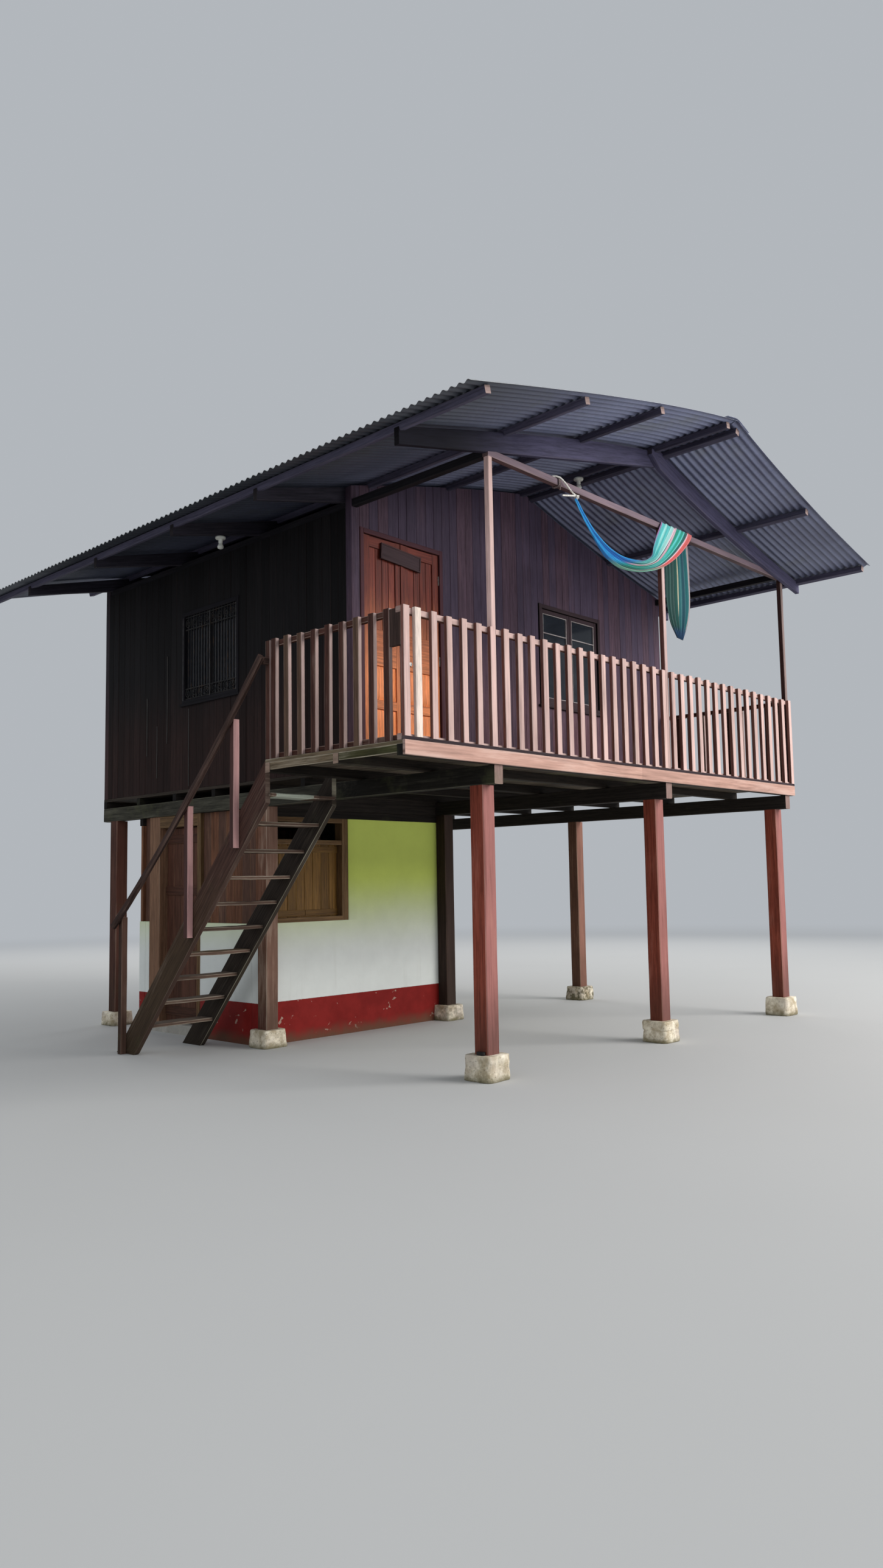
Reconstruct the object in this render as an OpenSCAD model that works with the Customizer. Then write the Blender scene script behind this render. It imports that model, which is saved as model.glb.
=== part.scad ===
// Timber stilt house with a walled ground room, a railed balcony, a side stair and a corrugated roof.
// The left, front corner of the first front post is the working origin; place() moves it so that
// the finished origin is the middle of the roof's footprint on the ground. Sizes in millimetres.

/* [Post grid] */
// Spacing of the three post columns, across the front
bay_w = 2500; // [2000:50:3000]
// Spacing of the three post rows, front to back
row_d = 2750; // [2300:50:3200]
// Side of a square ground post
post_w = 140; // [120:5:170]
// Side of a square footing pad
pad_w = 280; // [220:10:340]
// Height of the front row's pads above the ground
pad_front_h = 200; // [120:10:260]
// Height of the middle row's pads above the ground
pad_mid_h = 170; // [100:10:260]
// Height of the back row's pads above the ground
pad_back_h = 150; // [100:10:260]
// Width of a pad's top as a share of its foot
pad_taper = 0.94; // [0.85:0.01:1]

/* [Raised floor] */
// Height of the raised floor above the ground
floor_z = 2540; // [2350:10:2800]
// Thickness of the floor boards
board_t = 30; // [20:1:40]
// Height of a floor joist
joist_h = 80; // [60:5:110]
// Width of a floor joist
joist_w = 60; // [45:5:80]
// Height of a floor girder
girder_h = 150; // [120:5:180]
// Width of a floor girder
girder_w = 100; // [80:5:130]
// How far the balcony's front edge stands ahead of the front posts
balcony_lip = 150; // [120:10:260]
// Depth of the balcony behind the front posts' face, up to the stair landing's edge
balcony_d = 1460; // [1300:10:1500]
// How far the side landing stands out past the left posts
landing_w = 998; // [850:1:1150]
// Distance from the front posts' face to the balcony's middle joist
mid_joist_y = 565; // [400:5:900]
// How far the deck stands out past the right posts
right_lip = 50; // [30:5:120]
// Thickness of the board that faces the balcony's front edge
fascia_t = 25; // [18:1:35]

/* [Upper room] */
// Distance from the front posts' face to the face of the front wall
wall_y = 1500; // [1500:10:1700]
// How far the back wall stands behind the back posts
back_lip = 150; // [120:10:400]
// Thickness of the upper walls, boards and frame together
wall_t = 80; // [60:5:110]
// Height of the side walls, up to their plates
wall_h = 2375; // [2250:5:2500]
// Width of a wall plate
plate_w = 60; // [45:5:60]
// Height of a wall plate
plate_h = 70; // [50:5:90]
// Distance from the house's left side to the door opening
door_x = 100; // [90:5:300]
// Width of the upper door opening
door_w = 1090; // [900:10:1200]
// Height of the upper door opening
door_h = 2210; // [1950:10:2250]
// Distance from the house's left side to the front window
window_x = 2700; // [2000:10:3300]
// Width of the front window opening
window_w = 1130; // [900:10:1250]
// Height of the front window opening
window_h = 1110; // [900:10:1200]
// Height of the windows' sills above the raised floor
sill_h = 865; // [750:5:1000]
// Distance from the front posts' face to the side window
side_window_y = 3190; // [2600:10:3600]
// How much higher the side window stands than the front one
side_window_up = 35; // [0:5:80]
// Width of the side window opening
side_window_w = 1000; // [800:10:1200]
// Height of the side window opening
side_window_h = 990; // [800:10:1150]
// Width of a door or window frame member
frame_w = 45; // [35:1:60]
// Thickness of a door leaf
leaf_t = 40; // [30:1:50]
// Width of the stiles and rails round the door's panels
stile_w = 85; // [60:5:110]
// Spacing of the side window's upright bars
bar_gap = 100; // [80:5:140]
// Thickness of a window bar
bar_t = 12; // [8:1:16]
// Length of the blank board across the door
sign_w = 520; // [400:10:640]
// Height of the blank board
sign_h = 150; // [100:10:200]

/* [Railing] */
// Height of the railing above the raised floor
rail_h = 970; // [850:10:1100]
// Height of the top rail and the bottom rail
rail_t = 45; // [35:1:60]
// Depth of the rails behind the pickets
rail_d = 45; // [35:1:60]
// Width of a picket
picket_w = 65; // [45:1:80]
// Thickness of a picket
picket_t = 35; // [25:1:40]
// Spacing of the pickets
picket_gap = 166; // [140:1:220]
// Distance from the front railing's end picket to the next one
picket_first = 123; // [80:1:170]
// Side of a slim balcony post
slim_w = 50; // [40:1:60]

/* [Roof] */
// How far the ridge stands to the left of the middle
ridge_shift = 30; // [0:10:150]
// Pitch of the left slope in degrees
pitch_left = 13; // [12:0.5:16]
// Pitch of the right slope in degrees
pitch_right = 13.5; // [12.5:0.5:14]
// How far the left eave stands out past the left posts
eave_left = 1178; // [1050:1:1300]
// How far the right eave stands out past the right posts
eave_right = 375; // [300:5:500]
// How far the roof stands out ahead of the front posts
roof_front = 1004; // [850:1:1200]
// How far the roof stands out behind the back wall
roof_back = 853; // [600:1:1000]
// Height of a rafter
rafter_h = 120; // [100:5:140]
// Height of the left rafter over the balcony's edge
front_rafter_h = 150; // [120:5:170]
// Height at the ridge of the right one, a plank lapped over its face
lap_rafter_h = 190; // [150:5:220]
// Width of a rafter
rafter_w = 50; // [40:5:70]
// Width and height of a purlin
purlin_w = 60; // [50:1:70]
// Depth by which the purlins are let into the rafters
let_in = 30; // [15:1:40]
// Height of the tie beam over the balcony
tie_h = 60; // [45:1:70]
// Pitch of the corrugations
wave_p = 76; // [70:1:90]
// Height of the corrugations
wave_h = 18; // [14:1:25]
// Thickness of the corrugated sheet, modelled thicker than the real steel
sheet_t = 2; // [1.5:0.5:3]
// Width of each wing of the ridge cap
cap_w = 200; // [150:5:260]

/* [Stair] */
// Height of the lowest tread
first_tread = 285; // [260:1:300]
// Height of one step
step_rise = 221; // [210:1:230]
// Going of one step
step_run = 197; // [185:1:240]
// Number of treads below the landing
step_n = 10; // [10:1:10]
// Overall width of the stair
stair_w = 760; // [700:10:850]
// Thickness of a stringer
stringer_t = 50; // [40:1:60]
// Depth of a stringer, square to its slope
stringer_d = 230; // [190:5:240]
// Thickness of a tread
tread_t = 35; // [30:1:45]
// Depth of a tread
tread_d = 200; // [180:5:220]
// Depth by which a tread is housed in each stringer
housing = 15; // [10:1:20]
// Height of the handrail above the stringer's middle line, at the landing
handrail_h = 943; // [850:1:1000]
// How much further the handrail stands from the stair at its foot
handrail_flare = 300; // [0:10:350]

/* [Ground room] */
// Depth of the ground room
room_d = 2150; // [1900:10:2400]
// Thickness of its rendered walls
masonry_t = 120; // [100:5:150]
// Height of the half walls under its window and side boards
half_h = 1155; // [1000:5:1250]
// Height of the head boards over its full walls
head_h = 80; // [60:5:140]
// Height of the open vent over its front shutter
vent_h = 180; // [120:10:300]
// Width of its front window, from the left post
room_window_w = 1030; // [900:10:1200]
// Thickness of its floor
slab_t = 100; // [80:5:140]
// Width of its door leaf
room_door_w = 700; // [650:5:800]
// Distance from the room's back face to the hinge side of the door
room_door_back = 400; // [360:5:500]
// Width of the post that carries the door's hinges
hinge_post_w = 200; // [60:5:220]
// Clearance round the moving door leaf
door_gap = 8; // [6:1:12]

/* [Hammock and lamps] */
// Distance from the house's left side to the knot at the hammock's tied end
hammock_x = 1150; // [900:10:1500]
// Distance from the knot to the far side of the fold over the beam
hammock_span = 2040; // [1700:10:2200]
// How far the hammock sags below the beam's top
hammock_sag = 600; // [400:10:800]
// How far its loose end hangs below the beam's top
tail_drop = 1095; // [800:5:1300]
// Thickness of the gathered cloth
cloth_t = 30; // [20:1:40]
// Radius of a lamp's ceiling plate
lamp_r = 50; // [40:1:65]

/* [Hidden] */

// House width over the posts, and the levels of the raised floor's layers
house_w = 2 * bay_w + post_w;
joist_z = floor_z - board_t - joist_h;
girder_z = joist_z - girder_h;
plate_z = floor_z + wall_h;
back_y = 2 * row_d + post_w + back_lip;
room_h = girder_z - head_h;
side_sill_z = floor_z + sill_h + side_window_up;
deck_front = -balcony_lip;
deck_right = house_w + right_lip;

// Ridge: the left rafters just touch the inner edge of their plate, and the steeper right ones are notched
ridge_x = house_w / 2 - ridge_shift;
ridge_z = plate_z + plate_h + rafter_h + let_in + tan(pitch_left) * (ridge_x - (wall_t + plate_w) / 2);

// Post columns and rows, and the pads' heights row by row
columns = [0, bay_w, 2 * bay_w];
rows = [0, row_d, 2 * row_d];
pad_heights = [pad_front_h, pad_mid_h, pad_back_h];

// Joists: behind the fascia, across the balcony, under the landing's edge, then under the room
balcony_joists = [deck_front + fascia_t, mid_joist_y, balcony_d - joist_w];
room_joist_n = 6;
room_joist_step = (back_y - joist_w - balcony_d) / room_joist_n;

// Slim posts stand behind the pickets, between lengths of the rails, and carry the tie beam: one over
// the left wall, one at the deck's right corner and one midway
slim_y = deck_front + picket_t;
slim_x0 = (wall_t - slim_w) / 2;
slim_x1 = deck_right - slim_w;
tie_y = slim_y - (tie_h - slim_w) / 2;
tie_back = tie_y + tie_h;

// Trusses from behind the front wall to before the back wall
truss_shares = [0, 0.31, 0.65, 1];
inner_trusses = back_y - wall_y - 2 * wall_t - rafter_w;
truss_y = [for (t = truss_shares) wall_y + wall_t + t * inner_trusses];

// Roof footprint and its middle
roof_x0 = -eave_left;
roof_x1 = house_w + eave_right;
roof_y0 = -roof_front;
roof_y1 = back_y + roof_back;
mid_x = (roof_x0 + roof_x1) / 2;
mid_y = (roof_y0 + roof_y1) / 2;

// Purlins, as distances of their centres from the ridge: shares of the run from the top one to the eave's
purlin_inset = 50;
top_purlin = 80;
eave_purlin_left = ridge_x - roof_x0 - 220;
eave_purlin_right = roof_x1 - ridge_x - 40;
purlins_left = [for (t = [0, 0.34, 0.65, 1]) top_purlin + t * (eave_purlin_left - top_purlin)];
purlins_right = [for (t = [0, 0.505, 1]) top_purlin + t * (eave_purlin_right - top_purlin)];

// Ground room outline: just inside the left posts, behind the middle row
room_x0 = 20;
room_x1 = bay_w + masonry_t;
room_y0 = row_d + post_w;
room_y1 = room_y0 + room_d;
room_in_x0 = room_x0 + masonry_t;
room_in_x1 = room_x1 - masonry_t;
room_in_y0 = room_y0 + masonry_t;
room_in_y1 = room_y1 - masonry_t;
hinge_y = room_y1 - room_door_back;
latch_y = hinge_y - room_door_w;
jamb_w = 60;
leaf_z0 = slab_t + door_gap;
leaf_z1 = room_h - frame_w - door_gap;

// Hinge pin axis: just clear of the wall's inner face and of the jamb
pin_r = 6;
pin_clear = 0.3;
knuckle_r = 11;
knuckle_h = 40;
pin_x = room_in_x0 + knuckle_r;
pin_y = hinge_y - door_gap;
hinge_levels = [leaf_z0 + 300, leaf_z1 - 300];
hinge_plate_t = 4;
hinge_plate_l = 55;

// Stair: centre line of the stringers, from the landing's edge down to the ground
stair_x0 = -landing_w;
stair_x1 = stair_x0 + stair_w;
stair_angle = atan(step_rise / step_run);
stringer_v = stringer_d / cos(stair_angle);
stair_top_y = balcony_d;
line_z = floor_z - 180;
overcut = 400;
newel_w = 60;
pole_t = 45;
pole_h = 60;
stair_run = line_z * step_run / step_rise;
newel_y = [for (t = [0.99, 0.482, 0.164]) stair_top_y + t * stair_run];

function under_left(x) = ridge_z - tan(pitch_left) * (ridge_x - x);
function under_right(x) = ridge_z - tan(pitch_right) * (x - ridge_x);
function stringer_mid(y) = line_z - (y - stair_top_y) * step_rise / step_run;
function down_stair(y) = (y - stair_top_y) / stair_run;
function handrail_z(y) = stringer_mid(y) + handrail_h + handrail_flare * pow(down_stair(y), 2);

module place() { translate([-mid_x, -mid_y, 0]) children(); }
module block(a, b) { translate(a) cube(b - a); }
// A plate standing in the XZ plane, drawn from [x, z] points, between two values of y
module across(y0, y1, points) {
    translate([0, y1, 0]) rotate([90, 0, 0]) linear_extrude(y1 - y0) polygon(points);
}
// A plate standing in the YZ plane, drawn from [y, z] points, between two values of x
module along(x0, x1, points) {
    translate([x0, 0, 0]) rotate([90, 0, 90]) linear_extrude(x1 - x0) polygon(points);
}

// Ground structure
module pads() {
    for (i = [0:2], x = columns) {
        c = [x + post_w / 2, rows[i] + post_w / 2];
        translate([c[0], c[1], 0]) linear_extrude(pad_heights[i], scale = pad_taper)
            square(pad_w, center = true);
    }
}
module footings() { color("lightgray") place() pads(); }
module ground_posts() {
    color("brown") place()
        for (i = [0:2], x = columns)
            block([x, rows[i], pad_heights[i]], [x + post_w, rows[i] + post_w, girder_z]);
}

// Raised floor
module floor_girders() {
    color("dimgray") place()
        for (x = columns)
            block([x, deck_front + fascia_t, girder_z], [x + girder_w, back_y, joist_z]);
}
module floor_joists() {
    color("dimgray") place() {
        for (y = balcony_joists)
            block([-landing_w, y, joist_z], [deck_right, y + joist_w, joist_z + joist_h]);
        for (i = [1:room_joist_n])
            block([0, balcony_d + i * room_joist_step, joist_z],
                [house_w, balcony_d + i * room_joist_step + joist_w, joist_z + joist_h]);
    }
}
module deck_fascia() {
    color("rosybrown") place()
        block([-landing_w, deck_front, joist_z], [deck_right, deck_front + fascia_t, floor_z]);
}
module balcony_deck() {
    color("darkkhaki") place()
        block([-landing_w, deck_front + fascia_t, floor_z - board_t], [deck_right, balcony_d, floor_z]);
}
module upper_floor() {
    color("tan") place()
        block([0, balcony_d, floor_z - board_t], [house_w, back_y, floor_z]);
}

// Upper walls. A gable wall rises to the rafters' top line and is notched for plates and purlins
module gable(y0) {
    top = let_in;
    difference() {
        across(y0, y0 + wall_t, [[0, floor_z], [house_w, floor_z], [house_w, under_right(house_w) - top],
            [ridge_x, ridge_z - top], [0, under_left(0) - top]]);
        plate_bars();
        purlin_bars();
    }
}
module front_wall() {
    color("darkslategray") place() difference() {
        gable(wall_y);
        block([door_x, wall_y - 1, floor_z - 1], [door_x + door_w, wall_y + wall_t + 1, floor_z + door_h]);
        block([window_x, wall_y - 1, floor_z + sill_h],
            [window_x + window_w, wall_y + wall_t + 1, floor_z + sill_h + window_h]);
    }
}
module side_wall(x0) {
    block([x0, wall_y + wall_t, floor_z], [x0 + wall_t, back_y - wall_t, plate_z]);
}
module left_wall() {
    color("darkslategray") place() difference() {
        side_wall(0);
        block([-1, side_window_y, side_sill_z],
            [wall_t + 1, side_window_y + side_window_w, side_sill_z + side_window_h]);
    }
}
module right_wall() { color("darkslategray") place() side_wall(house_w - wall_t); }
module back_wall() { color("darkslategray") place() gable(back_y - wall_t); }
module plate_bars() {
    for (x = [(wall_t - plate_w) / 2, house_w - (wall_t + plate_w) / 2])
        block([x, tie_back, plate_z], [x + plate_w, back_y, plate_z + plate_h]);
}
module wall_plates() { color("dimgray") place() plate_bars(); }

// Frame of four members round an opening in a wall that faces the front
module ring(x0, x1, z0, z1, w, y0, y1) {
    difference() {
        block([x0, y0, z0], [x1, y1, z1]);
        block([x0 + w, y0 - 1, z0 + w], [x1 - w, y1 + 1, z1 - w]);
    }
}
module front_door_frame() {
    color("rosybrown") place() difference() {
        block([door_x, wall_y, floor_z], [door_x + door_w, wall_y + wall_t, floor_z + door_h]);
        block([door_x + frame_w, wall_y - 1, floor_z - 1],
            [door_x + door_w - frame_w, wall_y + wall_t + 1, floor_z + door_h - frame_w]);
    }
}
// Two framed leaves, each with boards above and two sunk panels below
module front_door() {
    leaf_w = (door_w - 2 * frame_w) / 2;
    leaf_h = door_h - frame_w;
    panel_sink = 12;
    color("sienna") place()
        for (i = [0, 1]) translate([door_x + frame_w + i * leaf_w, wall_y + 15, floor_z])
            difference() {
                cube([leaf_w, leaf_t, leaf_h]);
                for (z = [[0.05, 0.26], [0.3, 0.445], [0.6, 0.95]] * leaf_h)
                    translate([stile_w, -1, z[0]]) cube([leaf_w - 2 * stile_w, panel_sink + 1, z[1] - z[0]]);
            }
}
module door_sign() {
    color("sienna") place()
        translate([door_x + 0.45 * (door_w - sign_w), wall_y - 5, floor_z + door_h - sign_h - 2 * frame_w])
            rotate([0, 4, 0]) cube([sign_w, 20, sign_h]);
}
module front_window() {
    z0 = floor_z + sill_h;
    half = (window_w - 2 * frame_w) / 2;
    color("dimgray") place() {
        ring(window_x, window_x + window_w, z0, z0 + window_h, frame_w, wall_y - 10, wall_y + wall_t);
        for (i = [0, 1]) {
            x0 = window_x + frame_w + i * half;
            ring(x0, x0 + half, z0 + frame_w, z0 + window_h - frame_w, frame_w, wall_y + 10, wall_y + 45);
            block([x0 + frame_w - 5, wall_y + 25, z0 + 2 * frame_w - 5],
                [x0 + half - frame_w + 5, wall_y + 30, z0 + window_h - 2 * frame_w + 5]);
        }
    }
}
// The side window is drawn facing the front and turned to the left wall
module left_window() {
    z0 = side_sill_z;
    z1 = side_sill_z + side_window_h;
    color("dimgray") place()
        translate([0, side_window_y + side_window_w, 0]) rotate([0, 0, -90]) {
            ring(0, side_window_w, z0, z1, frame_w, -10, wall_t);
            block([frame_w - 5, 30, z0 + frame_w - 5], [side_window_w - frame_w + 5, 36, z1 - frame_w + 5]);
            for (x = [frame_w + bar_gap:bar_gap:side_window_w - frame_w - bar_gap / 2])
                block([x, 5, z0 + frame_w], [x + bar_t, 5 + bar_t, z1 - frame_w]);
            for (z = [z0 + 0.16 * side_window_h, z1 - 0.2 * side_window_h])
                block([frame_w, 5, z], [side_window_w - frame_w, 5 + bar_t, z + bar_t]);
        }
}

// Railings: pickets on the outside, rails and an end post behind them. Drawn along +X, outside facing
// -Y. One picket stands at the start; the others are spaced evenly from first to last
module railing(len, first, last, end_post) {
    n = round((last - first) / picket_gap);
    for (x = [0, for (i = [0:n]) first + i * (last - first) / n])
        translate([x, 0, 0]) cube([picket_w, picket_t, rail_h + 10]);
    for (z = [0, rail_h - rail_t])
        translate([0, picket_t, z]) cube([len, rail_d, rail_t]);
    if (end_post >= 0)
        translate([end_post, picket_t, 0]) cube([rail_d, rail_d, rail_h]);
}
module front_railing() {
    len = deck_right + landing_w;
    color("rosybrown") place() difference() {
        translate([-landing_w, deck_front, floor_z])
            railing(len, picket_first, len - picket_w, picket_t);
        slim_posts();
    }
}
module left_railing() {
    len = balcony_d - deck_front - picket_t - rail_d;
    color("rosybrown") place() translate([-landing_w, balcony_d, floor_z]) rotate([0, 0, -90])
        railing(len, picket_w + 10, balcony_d - picket_w, 0);
}
module right_railing() {
    len = wall_y - slim_y - slim_w;
    color("rosybrown") place() translate([deck_right, slim_y + slim_w, floor_z]) rotate([0, 0, 90])
        railing(len, picket_gap, len - picket_w, -1);
}

// Roof frame over the balcony
module slim_posts() {
    for (x = [slim_x0, (slim_x0 + slim_x1) / 2, slim_x1])
        block([x, slim_y, floor_z], [x + slim_w, slim_y + slim_w, plate_z]);
}
module balcony_posts() { color("rosybrown") place() slim_posts(); }
// The plates butt against the tie beam's back
module tie_bar() {
    block([(wall_t - plate_w) / 2, tie_y, plate_z], [deck_right, tie_back, plate_z + tie_h]);
}
module tie_beam() { color("rosybrown") place() tie_bar(); }

// Rafters are notched over the plates and the tie beam, and the purlins are let into their tops
module left_rafter(y, h) {
    x0 = ridge_x - eave_purlin_left - purlin_w / 2;
    across(y, y + rafter_w, [[x0, under_left(x0) - let_in], [x0, under_left(x0) - let_in - h],
        [ridge_x, ridge_z - let_in - h], [ridge_x, ridge_z - let_in]]);
}
module left_rafters() {
    color("dimgray") place() difference() {
        union() {
            left_rafter(tie_y, front_rafter_h);
            for (y = truss_y) left_rafter(y, rafter_h);
        }
        tie_bar();
        plate_bars();
        purlin_bars();
    }
}
// The plank over the balcony's edge runs past the ridge, lies against the left rafter's face and the
// tie beam's, and tapers to the other rafters' height at the eave
module right_rafters() {
    x1 = ridge_x + eave_purlin_right + purlin_w / 2;
    xl = ridge_x - 2.5 * purlin_w;
    color("dimgray") place() difference() {
        union() {
            across(tie_y - rafter_w, tie_y, [[xl, under_left(xl) - let_in],
                [xl, under_left(xl) - let_in - rafter_h], [ridge_x, ridge_z - let_in - lap_rafter_h],
                [x1, under_right(x1) - let_in - rafter_h], [x1, under_right(x1) - let_in],
                [ridge_x, ridge_z - let_in]]);
            for (y = truss_y)
                across(y, y + rafter_w, [[x1, under_right(x1) - let_in], [ridge_x, ridge_z - let_in],
                    [ridge_x, ridge_z - let_in - rafter_h], [x1, under_right(x1) - let_in - rafter_h]]);
        }
        plate_bars();
        purlin_bars();
    }
}
module purlin_bars() {
    y0 = roof_y0 + purlin_inset;
    y1 = roof_y1 - purlin_inset;
    h = purlin_w / 2;
    for (d = purlins_left) {
        x = ridge_x - d;
        across(y0, y1, [[x - h, under_left(x - h)], [x - h, under_left(x - h) - purlin_w],
            [x + h, under_left(x + h) - purlin_w], [x + h, under_left(x + h)]]);
    }
    for (d = purlins_right) {
        x = ridge_x + d;
        across(y0, y1, [[x - h, under_right(x - h)], [x - h, under_right(x - h) - purlin_w],
            [x + h, under_right(x + h) - purlin_w], [x + h, under_right(x + h)]]);
    }
}
module purlins() { color("dimgray") place() purlin_bars(); }

// Corrugated sheets: one wave profile across the whole roof, drawn in [y, height] and run down the slope
module wave_sheet(len) {
    n = floor((roof_y1 - roof_y0) / wave_p);
    q = (roof_y1 - roof_y0) / n / 4;
    heights = [0.5, 1, 0.5, 0];
    low = [for (i = [0:4 * n]) [roof_y0 + i * q, wave_h * heights[i % 4]]];
    high = [for (i = [4 * n:-1:0]) [roof_y0 + i * q, wave_h * heights[i % 4] + sheet_t]];
    rotate([90, 0, 90]) linear_extrude(len) polygon(concat(low, high));
}
module left_roof_sheets() {
    color("slategray") place() translate([ridge_x, 0, ridge_z]) mirror([1, 0, 0])
        rotate([0, pitch_left, 0]) wave_sheet((ridge_x - roof_x0) / cos(pitch_left));
}
module right_roof_sheets() {
    color("slategray") place() translate([ridge_x, 0, ridge_z])
        rotate([0, pitch_right, 0]) wave_sheet((roof_x1 - ridge_x) / cos(pitch_right));
}
module ridge_cap() {
    h0 = (wave_h + sheet_t) / cos(max(pitch_left, pitch_right)) + 0.3;
    h1 = h0 + sheet_t;
    xl = ridge_x - cap_w;
    xr = ridge_x + cap_w;
    color("slategray") place()
        across(roof_y0, roof_y1, [[xl, under_left(xl) + h0], [ridge_x, ridge_z + h0],
            [xr, under_right(xr) + h0], [xr, under_right(xr) + h1],
            [ridge_x, ridge_z + h1], [xl, under_left(xl) + h1]]);
}

// Stair along the left side, rising from the back towards the landing
module tread_set(grow) {
    for (i = [1:step_n]) {
        z = first_tread + (i - 1) * step_rise;
        y = stair_top_y + (line_z - z) * step_run / step_rise - tread_d / 2;
        block([stair_x0 + stringer_t - grow, y, z - tread_t],
            [stair_x1 - stringer_t + grow, y + tread_d, z]);
    }
}
module stair_stringers() {
    y1 = stair_top_y + line_z * step_run / step_rise + overcut;
    color("dimgray") place() difference() {
        for (x = [stair_x0, stair_x1 - stringer_t])
            intersection() {
                along(x, x + stringer_t, [[stair_top_y, stringer_mid(stair_top_y) - stringer_v / 2],
                    [stair_top_y, stringer_mid(stair_top_y) + stringer_v / 2],
                    [y1, stringer_mid(y1) + stringer_v / 2], [y1, stringer_mid(y1) - stringer_v / 2]]);
                block([x - 1, stair_top_y, 0], [x + stringer_t + 1, y1, floor_z]);
            }
        tread_set(housing);
    }
}
module stair_treads() { color("gray") place() tread_set(housing); }
// Newels stand on the outside of the left stringer; the handrail is a pole fixed outside their heads
module stair_newels() {
    color("rosybrown") place()
        for (i = [0:2]) {
            y = newel_y[i];
            z0 = i == 0 ? 0 : stringer_mid(y) - 0.8 * stringer_v / 2;
            block([stair_x0 - newel_w, y, z0], [stair_x0, y + newel_w, handrail_z(y + newel_w / 2)]);
        }
}
module stair_handrail() {
    n = 10;
    y0 = stair_top_y - newel_w;
    q = (newel_y[0] + 2 * newel_w - y0) / n;
    h = pole_h / 2;
    color("rosybrown") place()
        along(stair_x0 - newel_w - pole_t, stair_x0 - newel_w,
            concat([for (i = [0:n]) [y0 + i * q, handrail_z(y0 + i * q) + h]],
                [for (i = [n:-1:0]) [y0 + i * q, handrail_z(y0 + i * q) - h]]));
    // A block carries the pole's top end on the railing's last picket
    color("rosybrown") place()
        block([stair_x0 - newel_w, y0, handrail_z(y0) - 2 * h], [stair_x0, y0 + newel_w, handrail_z(y0)]);
}

// Ground room
module room_floor() {
    color("gray") place() {
        block([room_in_x0, room_in_y0, 0], [room_in_x1, room_in_y1, slab_t]);
        block([room_x0, latch_y - jamb_w, 0], [room_in_x0, hinge_y + hinge_post_w, slab_t]);
    }
}
module room_front_wall() {
    color("white") place() difference() {
        union() {
            block([room_x0, room_y0, 0], [room_x1, room_in_y0, half_h]);
            block([room_in_x0 + room_window_w, room_y0, 0], [room_x1, room_in_y0, room_h]);
        }
        pads();
    }
}
module room_left_wall() {
    color("white") place() {
        block([room_x0, room_in_y0, 0], [room_in_x0, latch_y - jamb_w, half_h]);
        block([room_x0, hinge_y + hinge_post_w, 0], [room_in_x0, room_in_y1, half_h]);
    }
}
module room_right_wall() {
    color("white") place() block([room_in_x1, room_in_y0, 0], [room_x1, room_in_y1, girder_z]);
}
module room_back_wall() {
    color("white") place() block([room_x0, room_in_y1, 0], [room_x1, room_y1, half_h]);
}
module room_head_boards() {
    color("dimgray") place()
        for (y = [room_y0, room_y1 - jamb_w]) {
            block([room_x0, y, room_h], [room_x1, y + jamb_w, girder_z]);
            block([girder_w, y, room_h], [bay_w, y + jamb_w, joist_z]);
        }
}
// Frame as deep as the wall, with broad uprights and the shutter set back against its inner face
module room_window() {
    x0 = room_in_x0;
    x1 = x0 + room_window_w;
    side = 1.8 * frame_w;
    bar_z = room_h - 2 * frame_w - vent_h;
    color("peru") place() {
        difference() {
            block([x0, room_y0, half_h], [x1, room_in_y0, room_h]);
            block([x0 + side, room_y0 - 1, half_h + frame_w], [x1 - side, room_in_y0 + 1, room_h - frame_w]);
        }
        block([x0 + side, room_y0 + 10, bar_z], [x1 - side, room_in_y0, bar_z + frame_w]);
        block([x0 + side, room_in_y0 - 30, half_h + frame_w], [x1 - side, room_in_y0, bar_z]);
    }
}
// Boards on the half walls, with a post at the front corner
module room_wall_boards() {
    t = 40;
    color("saddlebrown") place() {
        block([room_x0, room_y0, half_h], [room_in_x0, room_y0 + jamb_w, room_h]);
        block([room_x0 + t, room_y0 + jamb_w, half_h], [room_x0 + 2 * t, latch_y - jamb_w, girder_z]);
        block([room_x0 + t, hinge_y + hinge_post_w, half_h], [room_x0 + 2 * t, room_y1 - jamb_w, girder_z]);
        block([room_x0, room_y1 - jamb_w, half_h], [room_x1, room_y1 - jamb_w + t, room_h]);
    }
}
module hinge_pin(z) {
    translate([pin_x, pin_y, z - 1.5 * knuckle_h]) cylinder(r = pin_r, h = 3 * knuckle_h, $fn = 32);
}
module room_door_frame() {
    color("saddlebrown") place() {
        difference() {
            block([room_x0, latch_y - jamb_w, slab_t], [room_in_x0, hinge_y + hinge_post_w, girder_z]);
            block([room_x0 - 1, latch_y, slab_t - 1], [room_in_x0 + 1, hinge_y, room_h - frame_w]);
        }
        for (z = hinge_levels) {
            hinge_pin(z);
            for (s = [-1.5, 0.5])
                translate([pin_x, pin_y, z + s * knuckle_h]) {
                    cylinder(r = knuckle_r, h = knuckle_h, $fn = 32);
                    translate([-knuckle_r, 0, 0]) cube([hinge_plate_t, hinge_plate_l, knuckle_h]);
                }
        }
    }
}
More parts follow.
